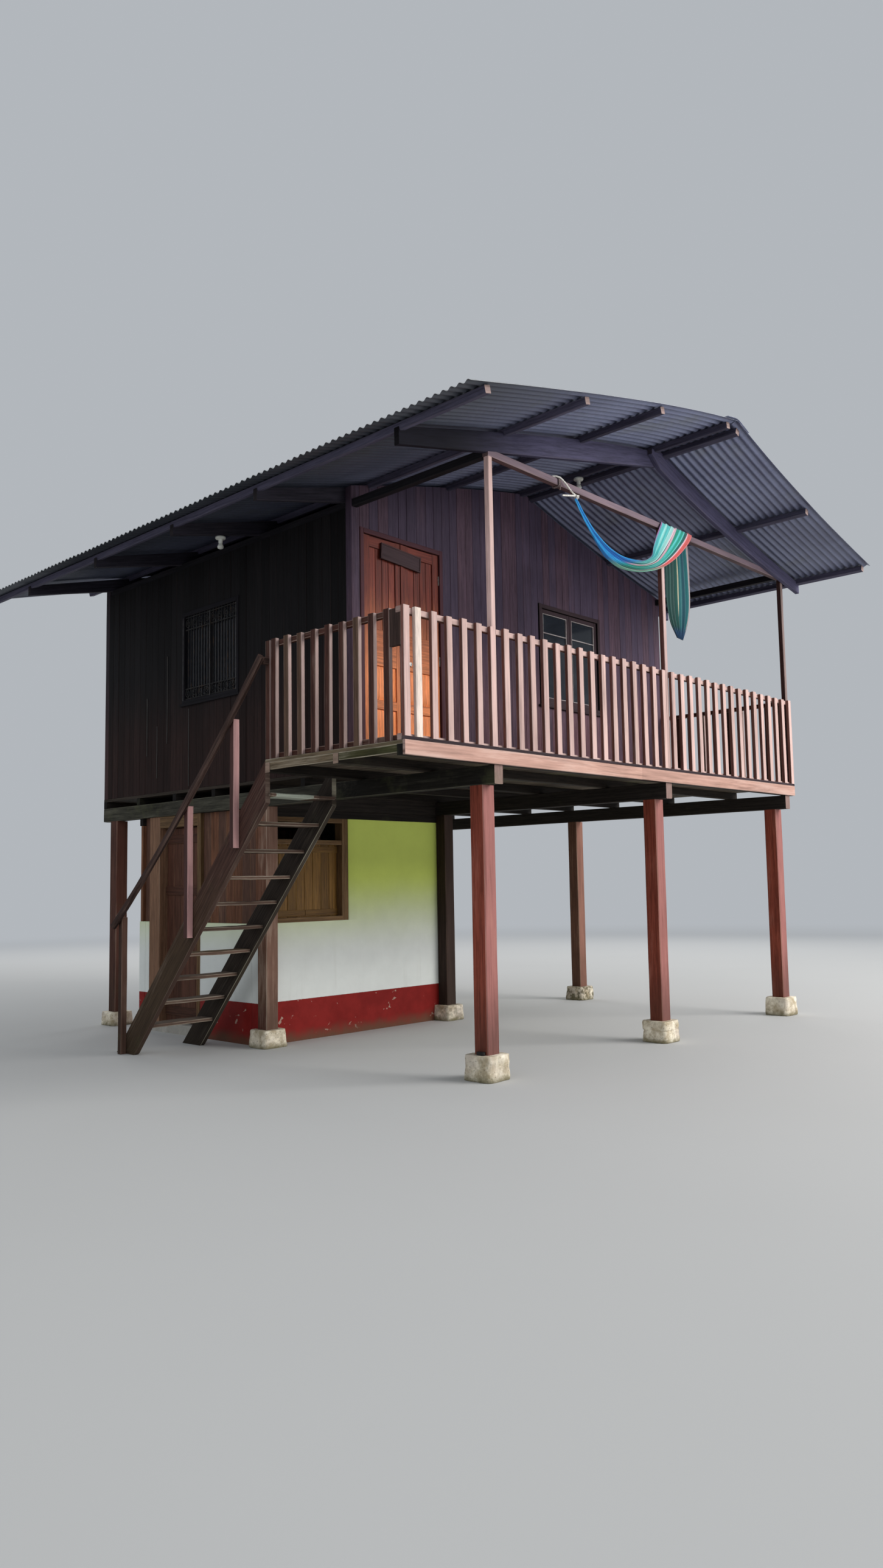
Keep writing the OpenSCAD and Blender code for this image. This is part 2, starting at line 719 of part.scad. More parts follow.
module room_door() {
    lower = knuckle_h / 2 - 1;
    color("saddlebrown") place() {
        difference() {
            block([room_in_x0 - leaf_t, latch_y + door_gap, leaf_z0],
                [room_in_x0, hinge_y - door_gap, leaf_z1]);
            for (z = hinge_levels)
                translate([pin_x, pin_y, z - 1.6 * knuckle_h])
                    cylinder(r = knuckle_r + 2, h = 3.2 * knuckle_h, $fn = 32);
        }
        for (z = hinge_levels)
            translate([pin_x, pin_y, z - lower]) difference() {
                union() {
                    cylinder(r = knuckle_r, h = 2 * lower, $fn = 32);
                    translate([-knuckle_r, -hinge_plate_l, 0])
                        cube([hinge_plate_t, hinge_plate_l, 2 * lower]);
                }
                translate([0, 0, -1]) cylinder(r = pin_r + pin_clear, h = 2 * lower + 2, $fn = 32);
            }
    }
}

// Hammock: gathered from its rope, slung in a bight, laid over the tie beam and hung down behind it.
// Its outlines are shares of its span and its sag, below the top of the beam.
soft_gap = 0.5;
cloth_z = plate_z + tie_h + soft_gap;
module sling(y0, y1, shares, drop) {
    across(y0, y1, [for (p = shares) [hammock_x + p[0] * hammock_span, cloth_z - p[1] * drop]]);
}
module hammock() {
    lift = -cloth_t / hammock_sag;
    back = tie_back + soft_gap;
    color("mediumturquoise") place() {
        sling(tie_y - 2 * cloth_t, tie_y - soft_gap,
            [[0, 0.21], [0.09, 0.475], [0.2, 0.76], [0.32, 0.925], [0.47, 1], [0.66, 0.91], [0.83, 0.61],
            [1, 0], [1, lift], [0.716, lift], [0.65, 0.72], [0.49, 0.84], [0.33, 0.81], [0.22, 0.64],
            [0.11, 0.375], [0.015, 0.125]], hammock_sag);
        block([hammock_x + 0.716 * hammock_span, tie_y - 2 * cloth_t, cloth_z],
            [hammock_x + hammock_span, back + cloth_t, cloth_z + cloth_t]);
        sling(back, back + cloth_t, [[0.76, -cloth_t / tail_drop], [0.77, 0.53], [0.833, 0.98], [0.883, 1],
            [0.946, 0.62], [0.96, -cloth_t / tail_drop]], tail_drop);
    }
}
module hammock_rope() {
    rope_r = 8;
    lap = 1.5 * rope_r;
    turns_x = hammock_x - 0.11 * hammock_span;
    knot = [hammock_x, tie_y - cloth_t, cloth_z - 0.125 * hammock_sag];
    color("beige") place() {
        difference() {
            block([turns_x, tie_y - lap, plate_z - lap],
                [turns_x + 3 * lap, tie_back + lap, plate_z + tie_h + lap]);
            block([turns_x - 1, tie_y, plate_z], [turns_x + 3 * lap + 1, tie_back, plate_z + tie_h]);
        }
        hull() {
            translate([turns_x + lap, tie_y - rope_r, plate_z + tie_h - lap]) sphere(r = rope_r, $fn = 12);
            translate(knot) sphere(r = rope_r, $fn = 12);
        }
    }
}

// Lamp holders with their bulbs: one under a rafter by the left eave, one under the ridge purlin
module lamp() {
    mirror([0, 0, 1]) {
        cylinder(r = lamp_r, h = lamp_r / 2, $fn = 32);
        cylinder(r = 0.4 * lamp_r, h = 1.3 * lamp_r, $fn = 32);
        translate([0, 0, 1.8 * lamp_r]) sphere(r = 0.6 * lamp_r, $fn = 24);
    }
}
module lamps() {
    x = -0.38 * eave_left;
    ridge_purlin = ridge_x - top_purlin;
    color("white") place() {
        translate([x, truss_y[1] + rafter_w / 2, under_left(x - lamp_r) - let_in - rafter_h]) lamp();
        translate([ridge_purlin, wall_y / 2, under_left(ridge_purlin - purlin_w / 2) - purlin_w]) lamp();
    }
}

footings();
ground_posts();
floor_girders();
floor_joists();
deck_fascia();
balcony_deck();
upper_floor();
front_wall();
left_wall();
right_wall();
back_wall();
wall_plates();
front_door();
front_door_frame();
door_sign();
front_window();
left_window();
front_railing();
left_railing();
right_railing();
balcony_posts();
tie_beam();
left_rafters();
right_rafters();
purlins();
left_roof_sheets();
right_roof_sheets();
ridge_cap();
stair_stringers();
stair_treads();
stair_newels();
stair_handrail();
room_floor();
room_front_wall();
room_left_wall();
room_right_wall();
room_back_wall();
room_head_boards();
room_window();
room_wall_boards();
room_door_frame();
room_door();
hammock();
hammock_rope();
lamps();
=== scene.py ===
import bpy
import math
import numpy as np
from mathutils import Matrix, Vector


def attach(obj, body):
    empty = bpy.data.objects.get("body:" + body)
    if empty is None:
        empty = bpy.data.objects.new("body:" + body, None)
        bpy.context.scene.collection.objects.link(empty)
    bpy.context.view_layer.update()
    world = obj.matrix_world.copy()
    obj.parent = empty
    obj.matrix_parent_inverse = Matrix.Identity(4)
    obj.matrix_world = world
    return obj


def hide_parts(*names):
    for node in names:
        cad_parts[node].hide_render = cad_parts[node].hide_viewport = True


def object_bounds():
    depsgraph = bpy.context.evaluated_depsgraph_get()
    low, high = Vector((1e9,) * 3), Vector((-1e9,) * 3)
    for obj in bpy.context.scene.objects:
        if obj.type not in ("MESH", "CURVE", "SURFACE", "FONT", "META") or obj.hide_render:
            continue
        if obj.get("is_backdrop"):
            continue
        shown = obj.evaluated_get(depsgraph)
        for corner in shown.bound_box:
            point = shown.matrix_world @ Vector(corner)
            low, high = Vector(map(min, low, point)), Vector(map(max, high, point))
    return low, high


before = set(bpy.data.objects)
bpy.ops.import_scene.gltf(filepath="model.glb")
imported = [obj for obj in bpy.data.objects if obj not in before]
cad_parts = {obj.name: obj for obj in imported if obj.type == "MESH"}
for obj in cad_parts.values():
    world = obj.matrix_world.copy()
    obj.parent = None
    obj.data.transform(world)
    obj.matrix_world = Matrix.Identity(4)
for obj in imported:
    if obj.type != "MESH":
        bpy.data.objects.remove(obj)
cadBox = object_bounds()

# Lengths are in millimetres from the outer corner of the left front post; build() turns them
# into metres about the middle of the roof's footprint
house = {
    "middle": (2168.5, 2819.5, 0.0), "columns": (0, 2500, 5000), "rows": (0, 2750, 5500), "post": 140,
    "width": 5140, "back": 5790, "girderFoot": 2280, "girderTop": 2430, "joistTop": 2510, "floor": 2540,
    "plate": 4915, "wallFace": 1500, "wall": 80, "fascia": 25,
    "deckLeft": -998, "deckRight": 5190, "deckFront": -150, "deckBack": 1460,
}
post, houseWide, houseBack, wallFace = (house[k] for k in ("post", "width", "back", "wallFace"))
girderFoot, girderTop, joistTop, floorTop, plateFoot = (
    house[k] for k in ("girderFoot", "girderTop", "joistTop", "floor", "plate"))
deckLeft, deckRight, deckFront, deckBack = (house["deck" + k] for k in ("Left", "Right", "Front", "Back"))
wallBack, boardBack = wallFace + house["wall"], deckFront + house["fascia"]
roof = {
    "ridge": 2540.0, "top": 5705.24, "left": -1178.0, "right": 5515.0, "front": -1004.0, "back": 6643.0,
    "pitchLeft": math.radians(13), "pitchRight": math.radians(13.5), "wave": 76, "waveHeight": 18,
    "letIn": 30, "purlin": 60, "purlinsLeft": (80, 1242.1, 2301.7, 3498), "purlinsRight": (80, 1521.8, 2935),
    "trusses": (1580, 2844.8, 4232, 5660), "tieFront": -120, "tieBack": -60,
    "bowLeft": (44, 22), "bowRight": (42, 28),
}
roof["waves"] = round((roof["back"] - roof["front"]) / roof["wave"])
roof["step"] = (roof["back"] - roof["front"]) / roof["waves"]


def straightRoof(x):
    # The roof's line as it was set out: the ridge's height less each slope's fall over the distance from it
    x = np.asarray(x, float)
    fall = np.where(x < roof["ridge"], math.tan(roof["pitchLeft"]), math.tan(roof["pitchRight"]))
    return roof["top"] - fall * np.abs(x - roof["ridge"])


def underRoof(x):
    # Underside of the sheets, which age has bent. With s the share of the slope, the left one rises by
    # 44 sin(pi s^0.75) - 22 s^2 and the right one sinks by 42 sin(pi s) + 28 (1 - e^(-9 s))
    x = np.asarray(x, float)
    left = np.clip((roof["ridge"] - x) / (roof["ridge"] - roof["left"]), 0, 1)
    right = np.clip((x - roof["ridge"]) / (roof["right"] - roof["ridge"]), 0, 1)
    (up, down), (sink, drop) = roof["bowLeft"], roof["bowRight"]
    bent = up * np.sin(np.pi * left ** 0.75) - down * left ** 2
    return straightRoof(x) + bent - sink * np.sin(np.pi * right) - drop * (1 - np.exp(-9 * right))


def ripple(points, size, seed):
    # Smooth unevenness of about -1 to 1: the mean of seven sine waves over the points, each in its own
    # seeded direction and roughly size long
    dice = np.random.default_rng(seed)
    ways = dice.normal(0, 1, (7, 3))
    ways *= 2 * np.pi / size * dice.uniform(0.6, 1.7, (7, 1)) / np.linalg.norm(ways, axis=1, keepdims=True)
    return np.sin(points @ ways.T + dice.uniform(0, 2 * np.pi, 7)).mean(-1) * 1.7


def smoothLine(points, n):
    # A smooth curve through the points: each span blends four neighbours by cubic weights of its share t
    points = np.asarray(points, float)
    ends = np.vstack([2 * points[0] - points[1], points, 2 * points[-1] - points[-2]])
    s = np.linspace(0, len(points) - 1, n)
    k = np.minimum(s.astype(int), len(points) - 2)
    t = (s - k)[:, None]
    a, b, c, d = (ends[k + i] for i in range(4))
    return 0.5 * (2 * b + (c - a) * t + (2 * a - 5 * b + 4 * c - d) * t**2 + (3 * b - a - 3 * c + d) * t**3)


def unit(v):
    return v / np.maximum(np.linalg.norm(v, axis=-1, keepdims=True), 1e-9)


def walked(points):
    # Distance walked along a row of points, in metres
    return np.concatenate([[0], np.cumsum(np.linalg.norm(np.diff(points, axis=0), axis=1))]) / 1000


def plank(w, h, cut=3.0, split=1):
    # Outline of a sawn timber: a rectangle with cut corners, walked round anticlockwise. Each span also
    # knows how far its two ends lie from the middle of its flat, and half that flat's width
    cut = min(cut, 0.3 * w, 0.3 * h)
    x, y = w / 2, h / 2
    ends = [((-x + cut, -y), (x - cut, -y)), ((x, -y + cut), (x, y - cut)),
            ((x - cut, y), (-x + cut, y)), ((-x, y - cut), (-x, -y + cut))]
    share = np.linspace(0, 1, split + 1)[:, None]
    points, spans = [], []
    for a, b in ends:
        a, b = np.array(a), np.array(b)
        points.append(a + (b - a) * share)
        half = np.linalg.norm(b - a) / 2
        off = (share[:, 0] * 2 - 1) * half
        spans += [(off[i], off[i + 1], half + cut) for i in range(split)] + [(half + cut,) * 3]
    return np.vstack(points), np.array(spans) / 1000


def circle(r, n):
    # Outline of a round bar: n points at equal angles, with no edges to wear
    a = np.arange(n) * 2 * np.pi / n
    return np.stack([r * np.cos(a), r * np.sin(a)], -1), np.tile([0.0, 0.0, 0.03], (n, 1))


def outward(part):
    # Six times the volume is the sum of a . (b x c) over all corners' triangles; where it is negative
    # every face is turned round
    co = part["co"] - part["co"].mean(0)
    total = 0.0
    for f, _, _ in part["faces"]:
        for k in range(1, f.shape[1] - 1):
            total += np.einsum("ij,ij->", co[f[:, 0]], np.cross(co[f[:, k]], co[f[:, k + 1]]))
    if total < 0:
        part["faces"] = [(f[:, ::-1], u[:, ::-1], b[:, ::-1]) for f, u, b in part["faces"]]
    return part


def sweep(path, side, top, outline, tone=0.5, start=(0.0, 0.0), scale=None, relief=None, rough=0, dice=None):
    # Ring i is path[i] + side * x + top * y over the outline's points (x, y), times scale[i]. Rings are
    # joined by four-sided faces and both ends are closed. relief moves points along their outline normals
    path = np.asarray(path, float)
    points, spans = outline
    m, p = len(path), len(points)
    side, top = (np.broadcast_to(np.asarray(v, float), (m, 3)) for v in (side, top))
    shape = points[None] * (np.ones(m) if scale is None else np.asarray(scale, float))[:, None, None]
    along = np.roll(points, -1, 0) - np.roll(points, 1, 0)
    out = unit(np.stack([along[:, 1], -along[:, 0]], -1))
    out = side[:, None] * out[None, :, :1] + top[:, None] * out[None, :, 1:]
    co = path[:, None] + side[:, None] * shape[..., :1] + top[:, None] * shape[..., 1:]
    if rough:
        co = co + out * dice.normal(0, rough, (m, p, 1))
    if relief:
        co = co + out * relief(co)[..., None]
    idx = np.arange(m * p).reshape(m, p)
    ahead = np.roll(idx, -1, 1)
    quads = np.stack([idx[:-1], ahead[:-1], ahead[1:], idx[1:]], -1).reshape(-1, 4)
    u = walked(path) + start[0]
    v = walked(np.vstack([points, points[:1]])) + start[1]
    uA, uB = u[:-1, None] + 0 * v[None, :-1], u[1:, None] + 0 * v[None, :-1]
    vA, vB = v[None, :-1] + 0 * u[:-1, None], v[None, 1:] + 0 * u[:-1, None]
    uv = np.stack([uA, vA, uA, vB, uB, vB, uB, vA], -1).reshape(-1, 4, 2)
    one = np.stack([spans[:, 0], spans[:, 1], spans[:, 1], spans[:, 0]], -1)
    board = np.stack([one, np.tile(spans[:, 2:], (1, 4)), np.full((p, 4), tone)], -1)
    board = np.tile(board[None], (m - 1, 1, 1, 1)).reshape(-1, 4, 3)
    ends = np.stack([idx[0, ::-1], idx[-1]])
    endUv = np.stack([points[::-1], points]) / 1000 + np.array(start)
    endBoard = np.broadcast_to([0.0, 0.0, tone], (2, p, 3))
    return outward({"co": co.reshape(-1, 3), "faces": [(quads, uv, board), (ends, endUv, endBoard)]})


def timber(dice, start, end, side, top, w, h, cut=3.0, split=1, step=450, bend=1.5, rough=0.35, tone=None):
    # A straight timber that is a little crooked: its line bows by a sine of its length in two directions
    start, end = np.asarray(start, float), np.asarray(end, float)
    n = max(2, int(np.linalg.norm(end - start) / step) + 2)
    s = np.linspace(0, 1, n)[:, None]
    bow = np.sin(np.pi * s) * dice.uniform(-bend, bend) + np.sin(2 * np.pi * s) * dice.uniform(-bend, bend) * 0.5
    path = start + (end - start) * s + np.asarray(side, float) * bow + np.asarray(top, float) * bow[::-1] * 0.6
    tone = dice.uniform(0, 1) if tone is None else tone
    return sweep(path, side, top, plank(w, h, cut, split), tone, dice.uniform(0, 9, 2), rough=rough, dice=dice)


def bar(dice, low, high, axis=None, **more):
    # The timber that fills a box from one corner to the other, with its grain along the longest side
    low, high = np.asarray(low, float), np.asarray(high, float)
    axis = int(np.argmax(high - low)) if axis is None else axis
    a, b = (axis + 1) % 3, (axis + 2) % 3
    start, end = (low + high) / 2, (low + high) / 2
    start[axis], end[axis] = low[axis], high[axis]
    return timber(dice, start, end, np.eye(3)[a], np.eye(3)[b], high[a] - low[a], high[b] - low[b], **more)


def shell(front, back, tone=0.5, flags=None):
    # Two grids of points joined round their rims into one closed sheet. The grain map is the distances
    # walked along the middle column and the middle row
    n, m = front.shape[:2]
    idx = np.arange(n * m).reshape(n, m)
    f = np.stack([idx[:-1, :-1], idx[1:, :-1], idx[1:, 1:], idx[:-1, 1:]], -1).reshape(-1, 4)
    rim = np.concatenate([idx[:-1, 0], idx[-1, :-1], idx[:0:-1, -1], idx[0, :0:-1]])
    on = np.roll(rim, -1)
    edge = np.stack([on, rim, rim + n * m, on + n * m], -1)
    u, v = walked(front[:, m // 2]), walked(front[n // 2])
    flat = np.tile(np.stack(np.meshgrid(u, v, indexing="ij"), -1).reshape(-1, 2), (2, 1))
    across = np.tile(np.broadcast_to(v - v[-1] / 2, (n, m)).reshape(-1), 2)
    faces = []
    for quads, flag in ((f, 0), ((f + n * m)[:, ::-1], 1), (edge, 2)):
        board = np.zeros((*quads.shape, 3))
        board[..., 2] = tone
        if flags is not None:
            board[..., 0] = flags[flag]
        elif flag < 2:
            board[..., 0], board[..., 1] = across[quads], v[-1] / 2
        uv = flat[quads]
        if flag == 2:
            uv[:, 2:] += 0.004
        faces.append((quads, uv, board))
    return outward({"co": np.vstack([front.reshape(-1, 3), back.reshape(-1, 3)]), "faces": faces})


def tube(path, r, n, ref, twist=None):
    # A round bar along a curve: the ring's side is square to the path and to ref, its top square to both.
    # A twisted rope's radius swells three times round, and the swell turns along the path
    path = np.asarray(path, float)
    t = unit(np.gradient(path, axis=0))
    side = unit(np.cross(t, ref))
    if twist:
        a, s = np.arange(n) * 2 * np.pi / n, walked(path)[:, None] * 1000
        lumps = 0.16 * r * np.cos(3 * a + 2 * np.pi * s / twist)
    return sweep(path, side, np.cross(side, t), circle(r, n), relief=(lambda co: lumps) if twist else None)


def lathe(middle, profile, axis, n):
    # Rings of the profile's radii at its heights, about an axis through the middle point
    profile = np.asarray(profile, float)
    path = np.tile(np.asarray(middle, float), (len(profile), 1))
    path[:, axis] += profile[:, 1]
    return sweep(path, np.eye(3)[(axis + 1) % 3], np.eye(3)[(axis + 2) % 3], circle(1, n), scale=profile[:, 0])


def turned(parts, angle, shift, upright=True):
    # Parts turned and then moved: about the upright axis as x cos - y sin and x sin + y cos, or about the
    # one that runs to the back as x cos + z sin and z cos - x sin
    c, s = round(math.cos(angle), 9), round(math.sin(angle), 9)
    turn = np.array([[c, s, 0], [-s, c, 0], [0, 0, 1]] if upright else [[c, 0, -s], [0, 1, 0], [s, 0, c]])
    return [{"co": p["co"] @ turn + np.asarray(shift, float), "faces": p["faces"]} for p in parts]


def build(name, parts, finish, nodes=(), body="house", smooth=34):
    # All parts in one mesh, in metres in the row frame, with their grain map and board values per corner
    loops, sizes, uvs, boards, shift = [], [], [], [], 0
    for part in parts:
        for f, u, b in part["faces"]:
            loops.append((f + shift).ravel())
            sizes.append(np.full(len(f), f.shape[1]))
            uvs.append(np.asarray(u).reshape(-1, 2))
            boards.append(np.asarray(b).reshape(-1, 3))
        shift += len(part["co"])
    co = (np.concatenate([p["co"] for p in parts]) - np.array(house["middle"])) / 1000
    loops, sizes = np.concatenate(loops), np.concatenate(sizes)
    mesh = bpy.data.meshes.new(name)
    mesh.vertices.add(len(co))
    mesh.vertices.foreach_set("co", co.astype(np.float32).ravel())
    mesh.loops.add(len(loops))
    mesh.loops.foreach_set("vertex_index", loops.astype(np.int32))
    mesh.polygons.add(len(sizes))
    mesh.polygons.foreach_set("loop_start", (np.cumsum(sizes) - sizes).astype(np.int32))
    mesh.update(calc_edges=True)
    mesh.uv_layers.new(name="grain").data.foreach_set("uv", np.concatenate(uvs).astype(np.float32).ravel())
    board = mesh.attributes.new("board", "FLOAT_VECTOR", "CORNER")
    board.data.foreach_set("vector", np.concatenate(boards).astype(np.float32).ravel())
    mesh.validate()
    mesh.shade_smooth()
    mesh.set_sharp_from_angle(angle=math.radians(smooth))
    mesh.materials.append(paints[finish])
    made = bpy.data.objects.new(name, mesh)
    bpy.context.scene.collection.objects.link(made)
    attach(made, body)
    if nodes:
        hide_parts(*nodes)
    return made


class Wire:
    # A socket of a material's nodes, with the arithmetic that adds Math nodes
    def __init__(self, tree, socket=None):
        self.tree, self.socket = tree, socket

    def node(self, kind, settings=None, values=None, out=0):
        made = self.tree.nodes.new("ShaderNode" + kind)
        for key, value in (settings or {}).items():
            if key == "stops":
                stops = made.color_ramp.elements
                stops.remove(stops[1])
                stops[0].position, stops[0].color = value[0][0], (*value[0][1], 1)
                for place, tint in value[1:]:
                    stops.new(place).color = (*tint, 1)
            elif key == "spread":
                made.color_ramp.interpolation = value
            else:
                setattr(made, key, value)
        for key, value in (values or {}).items():
            if isinstance(value, Wire):
                self.tree.links.new(value.socket, made.inputs[key])
            elif isinstance(value, tuple) and len(value) == 3 and made.inputs[key].type == "RGBA":
                made.inputs[key].default_value = (*value, 1)
            else:
                made.inputs[key].default_value = value
        return Wire(self.tree, made.outputs[out])

    def maths(self, kind, a, b=0.0):
        return self.node("Math", {"operation": kind}, {0: a, 1: b})

    def __add__(self, other): return self.maths("ADD", self, other)
    def __radd__(self, other): return self.maths("ADD", other, self)
    def __sub__(self, other): return self.maths("SUBTRACT", self, other)
    def __rsub__(self, other): return self.maths("SUBTRACT", other, self)
    def __mul__(self, other): return self.maths("MULTIPLY", self, other)
    def __rmul__(self, other): return self.maths("MULTIPLY", other, self)
    def __abs__(self): return self.maths("ABSOLUTE", self)
    def orMore(self, other): return self.maths("MAXIMUM", self, other)
    def sine(self): return self.maths("SINE", self)

    def step(self, low, high):
        # 0 at low, 1 at high, with a soft curve between
        return self.node("MapRange", {"interpolation_type": "SMOOTHSTEP"}, {0: self, 1: low, 2: high})

    def tint(self, a, b):
        # Colour a where this is 0, colour b where it is 1
        return self.node("Mix", {"data_type": "RGBA"}, {0: self, 6: a, 7: b}, 2)

    def dimmed(self, share):
        # A colour made darker or lighter by a number or a wire
        return self.node("VectorMath", {"operation": "SCALE"}, {0: self, 3: share})

    def split(self):
        made = self.node("SeparateXYZ", None, {0: self})
        return [Wire(self.tree, s) for s in made.socket.node.outputs]

    def joined(self, x, y, z): return self.node("CombineXYZ", None, {0: x, 1: y, 2: z})
    def times(self, share): return self.node("VectorMath", {"operation": "MULTIPLY"}, {0: self, 1: share})

    def noise(self, scale, detail=4.0, rough=0.55, warp=0.0):
        values = {"Vector": self, "Scale": scale, "Detail": detail, "Roughness": rough, "Distortion": warp}
        return self.node("TexNoise", None, values)

    def cells(self, scale, out=0):
        # Distance to the nearest of scattered points, or with out 1 a colour of its own for each of them
        return self.node("TexVoronoi", None, {"Vector": self, "Scale": scale}, out)

    def ramp(self, stops):
        # One colour from each stop to the next
        return self.node("ValToRGB", {"stops": stops, "spread": "CONSTANT"}, {0: self})

    def place(self): return self.node("TexCoord", out=3)
    def grain(self): return self.node("UVMap", {"uv_map": "grain"}).split()[:2]

    def board(self):
        # The three values that every corner of a mesh carries
        return self.node("Attribute", {"attribute_name": "board", "attribute_type": "GEOMETRY"}, out=1).split()


def newPaint(name, **fixed):
    # A material with one Principled shader; fixed values go on the shader's own sockets
    made = bpy.data.materials.new(name)
    made.use_nodes = True
    tree = made.node_tree
    tree.nodes.clear()
    out = tree.nodes.new("ShaderNodeOutputMaterial")
    shader = tree.nodes.new("ShaderNodeBsdfPrincipled")
    tree.links.new(shader.outputs[0], out.inputs[0])
    for key, value in fixed.items():
        shader.inputs[key.replace("_", " ")].default_value = value
    start = Wire(tree)
    start.material, start.shader, start.out = made, shader, out
    return start


def finishPaint(start, tint, dull, height=None):
    # Joins colour, roughness and the bump, whose height is in metres, to the shader
    tree, shader = start.tree, start.shader
    tree.links.new(tint.socket, shader.inputs["Base Color"])
    tree.links.new(dull.socket, shader.inputs["Roughness"])
    if height is not None:
        bump = start.node("Bump", None, {"Height": height, "Distance": 1.0, "Strength": 0.8})
        tree.links.new(bump.socket, shader.inputs["Normal"])
    return start.material


def scaled(tint, share):
    return tuple(c * share for c in tint)


def woodPaint(name, base, deep, bare, fadedAndLit=None, wear=0.5, edge=0.5, spread=0.25, dull=0.66, moss=0.0,
              damp=0.0, fresh=None, grit=1.0, patchy=0.5, lower=None, gloss=0.12, grime=0.0, other=None,
              ends=None, shady=None):
    # Sawn timber: fibres run along the grain map, boards differ by their tone, paint thins on edges and in
    # patches, what faces the front takes a tint of its own, which is sun bleaching and painted light from the
    # front in one, rain carries grime down, and moss or damp darkens it.
    # lower = (z0, z1, tint) turns the base to tint from z1 down to z0; other is the tint of the boards with
    # a high tone, fresh of those with a tone over 1.5, and ends of the cut ends. shady = (x0, x1, share) is
    # painted shade by place: the tint is scaled by share west of x0, with none of that east of x1, and a share
    # over 1 makes it painted light
    start = newPaint(name, Specular_IOR_Level=gloss)
    along, across = start.grain()
    off, half, tone = start.board()
    place, facing = start.place(), start.node("TexCoord", out=1).split()[1]
    east, _, height = place.split()
    fibre = start.joined(along * 2.4, across * 60, tone * 23).noise(1, 5, 0.6, 0.3)
    fine = start.joined(along * 11, across * 300, tone * 41).noise(1, 3, 0.6)
    patch = start.joined(along * 1.6, across * 9, tone * 11).noise(1, 5, 0.62)
    cloud = place.noise(1.3, 3)
    rim = 1 - (half - abs(off) + (fibre - 0.5) * 0.016).step(0.0004, 0.0075)
    grain = fibre * 0.6 + fine * 0.4
    if lower:
        z0, z1, below = lower
        low = 1 - (height + (patch - 0.5) * 0.6).step(z0, z1)
        base, deep = low.tint(base, below), low.tint(deep, scaled(below, 0.5))
    if other:
        swapped = (tone + (patch - 0.5) * 0.3).step(0.55, 0.75)
        base, deep = swapped.tint(base, other), swapped.tint(deep, scaled(other, 0.5))
    tint = grain.step(0.36, 0.62).tint(deep, base)
    thin = (patch * 0.7 + fibre * 0.3).step(0.66 - 0.24 * patchy, 0.78 - 0.1 * patchy)
    if fadedAndLit:
        # Faces turned to the front get their own tint: sun bleaching and painted light from the front in one
        frontLitBleach = (facing * -1).step(0.25, 0.85)
        pale = (fibre * 0.5 + patch * 0.5).step(0.3, 0.6).tint(scaled(fadedAndLit, 0.7), fadedAndLit)
        tint = frontLitBleach.tint(tint, pale)
    worn = (rim * (patch + fibre * 0.4).step(0.5, 0.85) * edge).orMore(thin * wear * 0.7)
    tint = worn.tint(tint, bare)
    tint = tint.dimmed((1 - spread) + tone.step(0, 1) * (2 * spread))
    tint = tint.dimmed(0.82 + cloud * 0.36)
    if shady:
        # Painted shade west of x0; a share over 1 makes it painted light
        x0, x1, share = shady
        tint = tint.dimmed(share + east.step(x0, x1) * (1 - share))
    if grime:
        dark = start.joined(along * 0.9, across * 24, tone * 7).noise(1, 5, 0.7).step(0.50, 0.72) * grime
        tint = dark.tint(tint, scaled(deep, 0.5) if isinstance(deep, tuple) else deep)
    if fresh:
        new = (fine * 0.5 + fibre * 0.5).step(0.36, 0.6).tint(scaled(fresh, 0.6), fresh)
        tint = tone.step(1.4, 1.6).tint(tint, new)
    if ends:
        cut = (fibre * 0.5 + fine * 0.5).step(0.35, 0.6).tint(scaled(ends, 0.55), ends)
        tint = half.step(0.0004, 0.0008).tint(cut, tint)
    if damp:
        wet = (1 - (height + (patch - 0.5) * 0.5).step(0.2, 0.9)) * damp
        tint = wet.tint(tint, (0.035, 0.026, 0.018))
    if moss:
        green = place.noise(2.2, 5, 0.65).step(0.62 - 0.3 * moss, 0.74 - 0.2 * moss)
        green = green * (0.35 + 0.65 * fine) * min(1, moss * 1.4)
        tint = green.tint(tint, (0.105, 0.11, 0.05))
    rough = dull + worn * 0.16 + (fine - 0.5) * 0.16
    depth = fibre * (0.0011 * grit) + fine * (0.0005 * grit) - worn * 0.0005
    return finishPaint(start, tint, rough, depth)


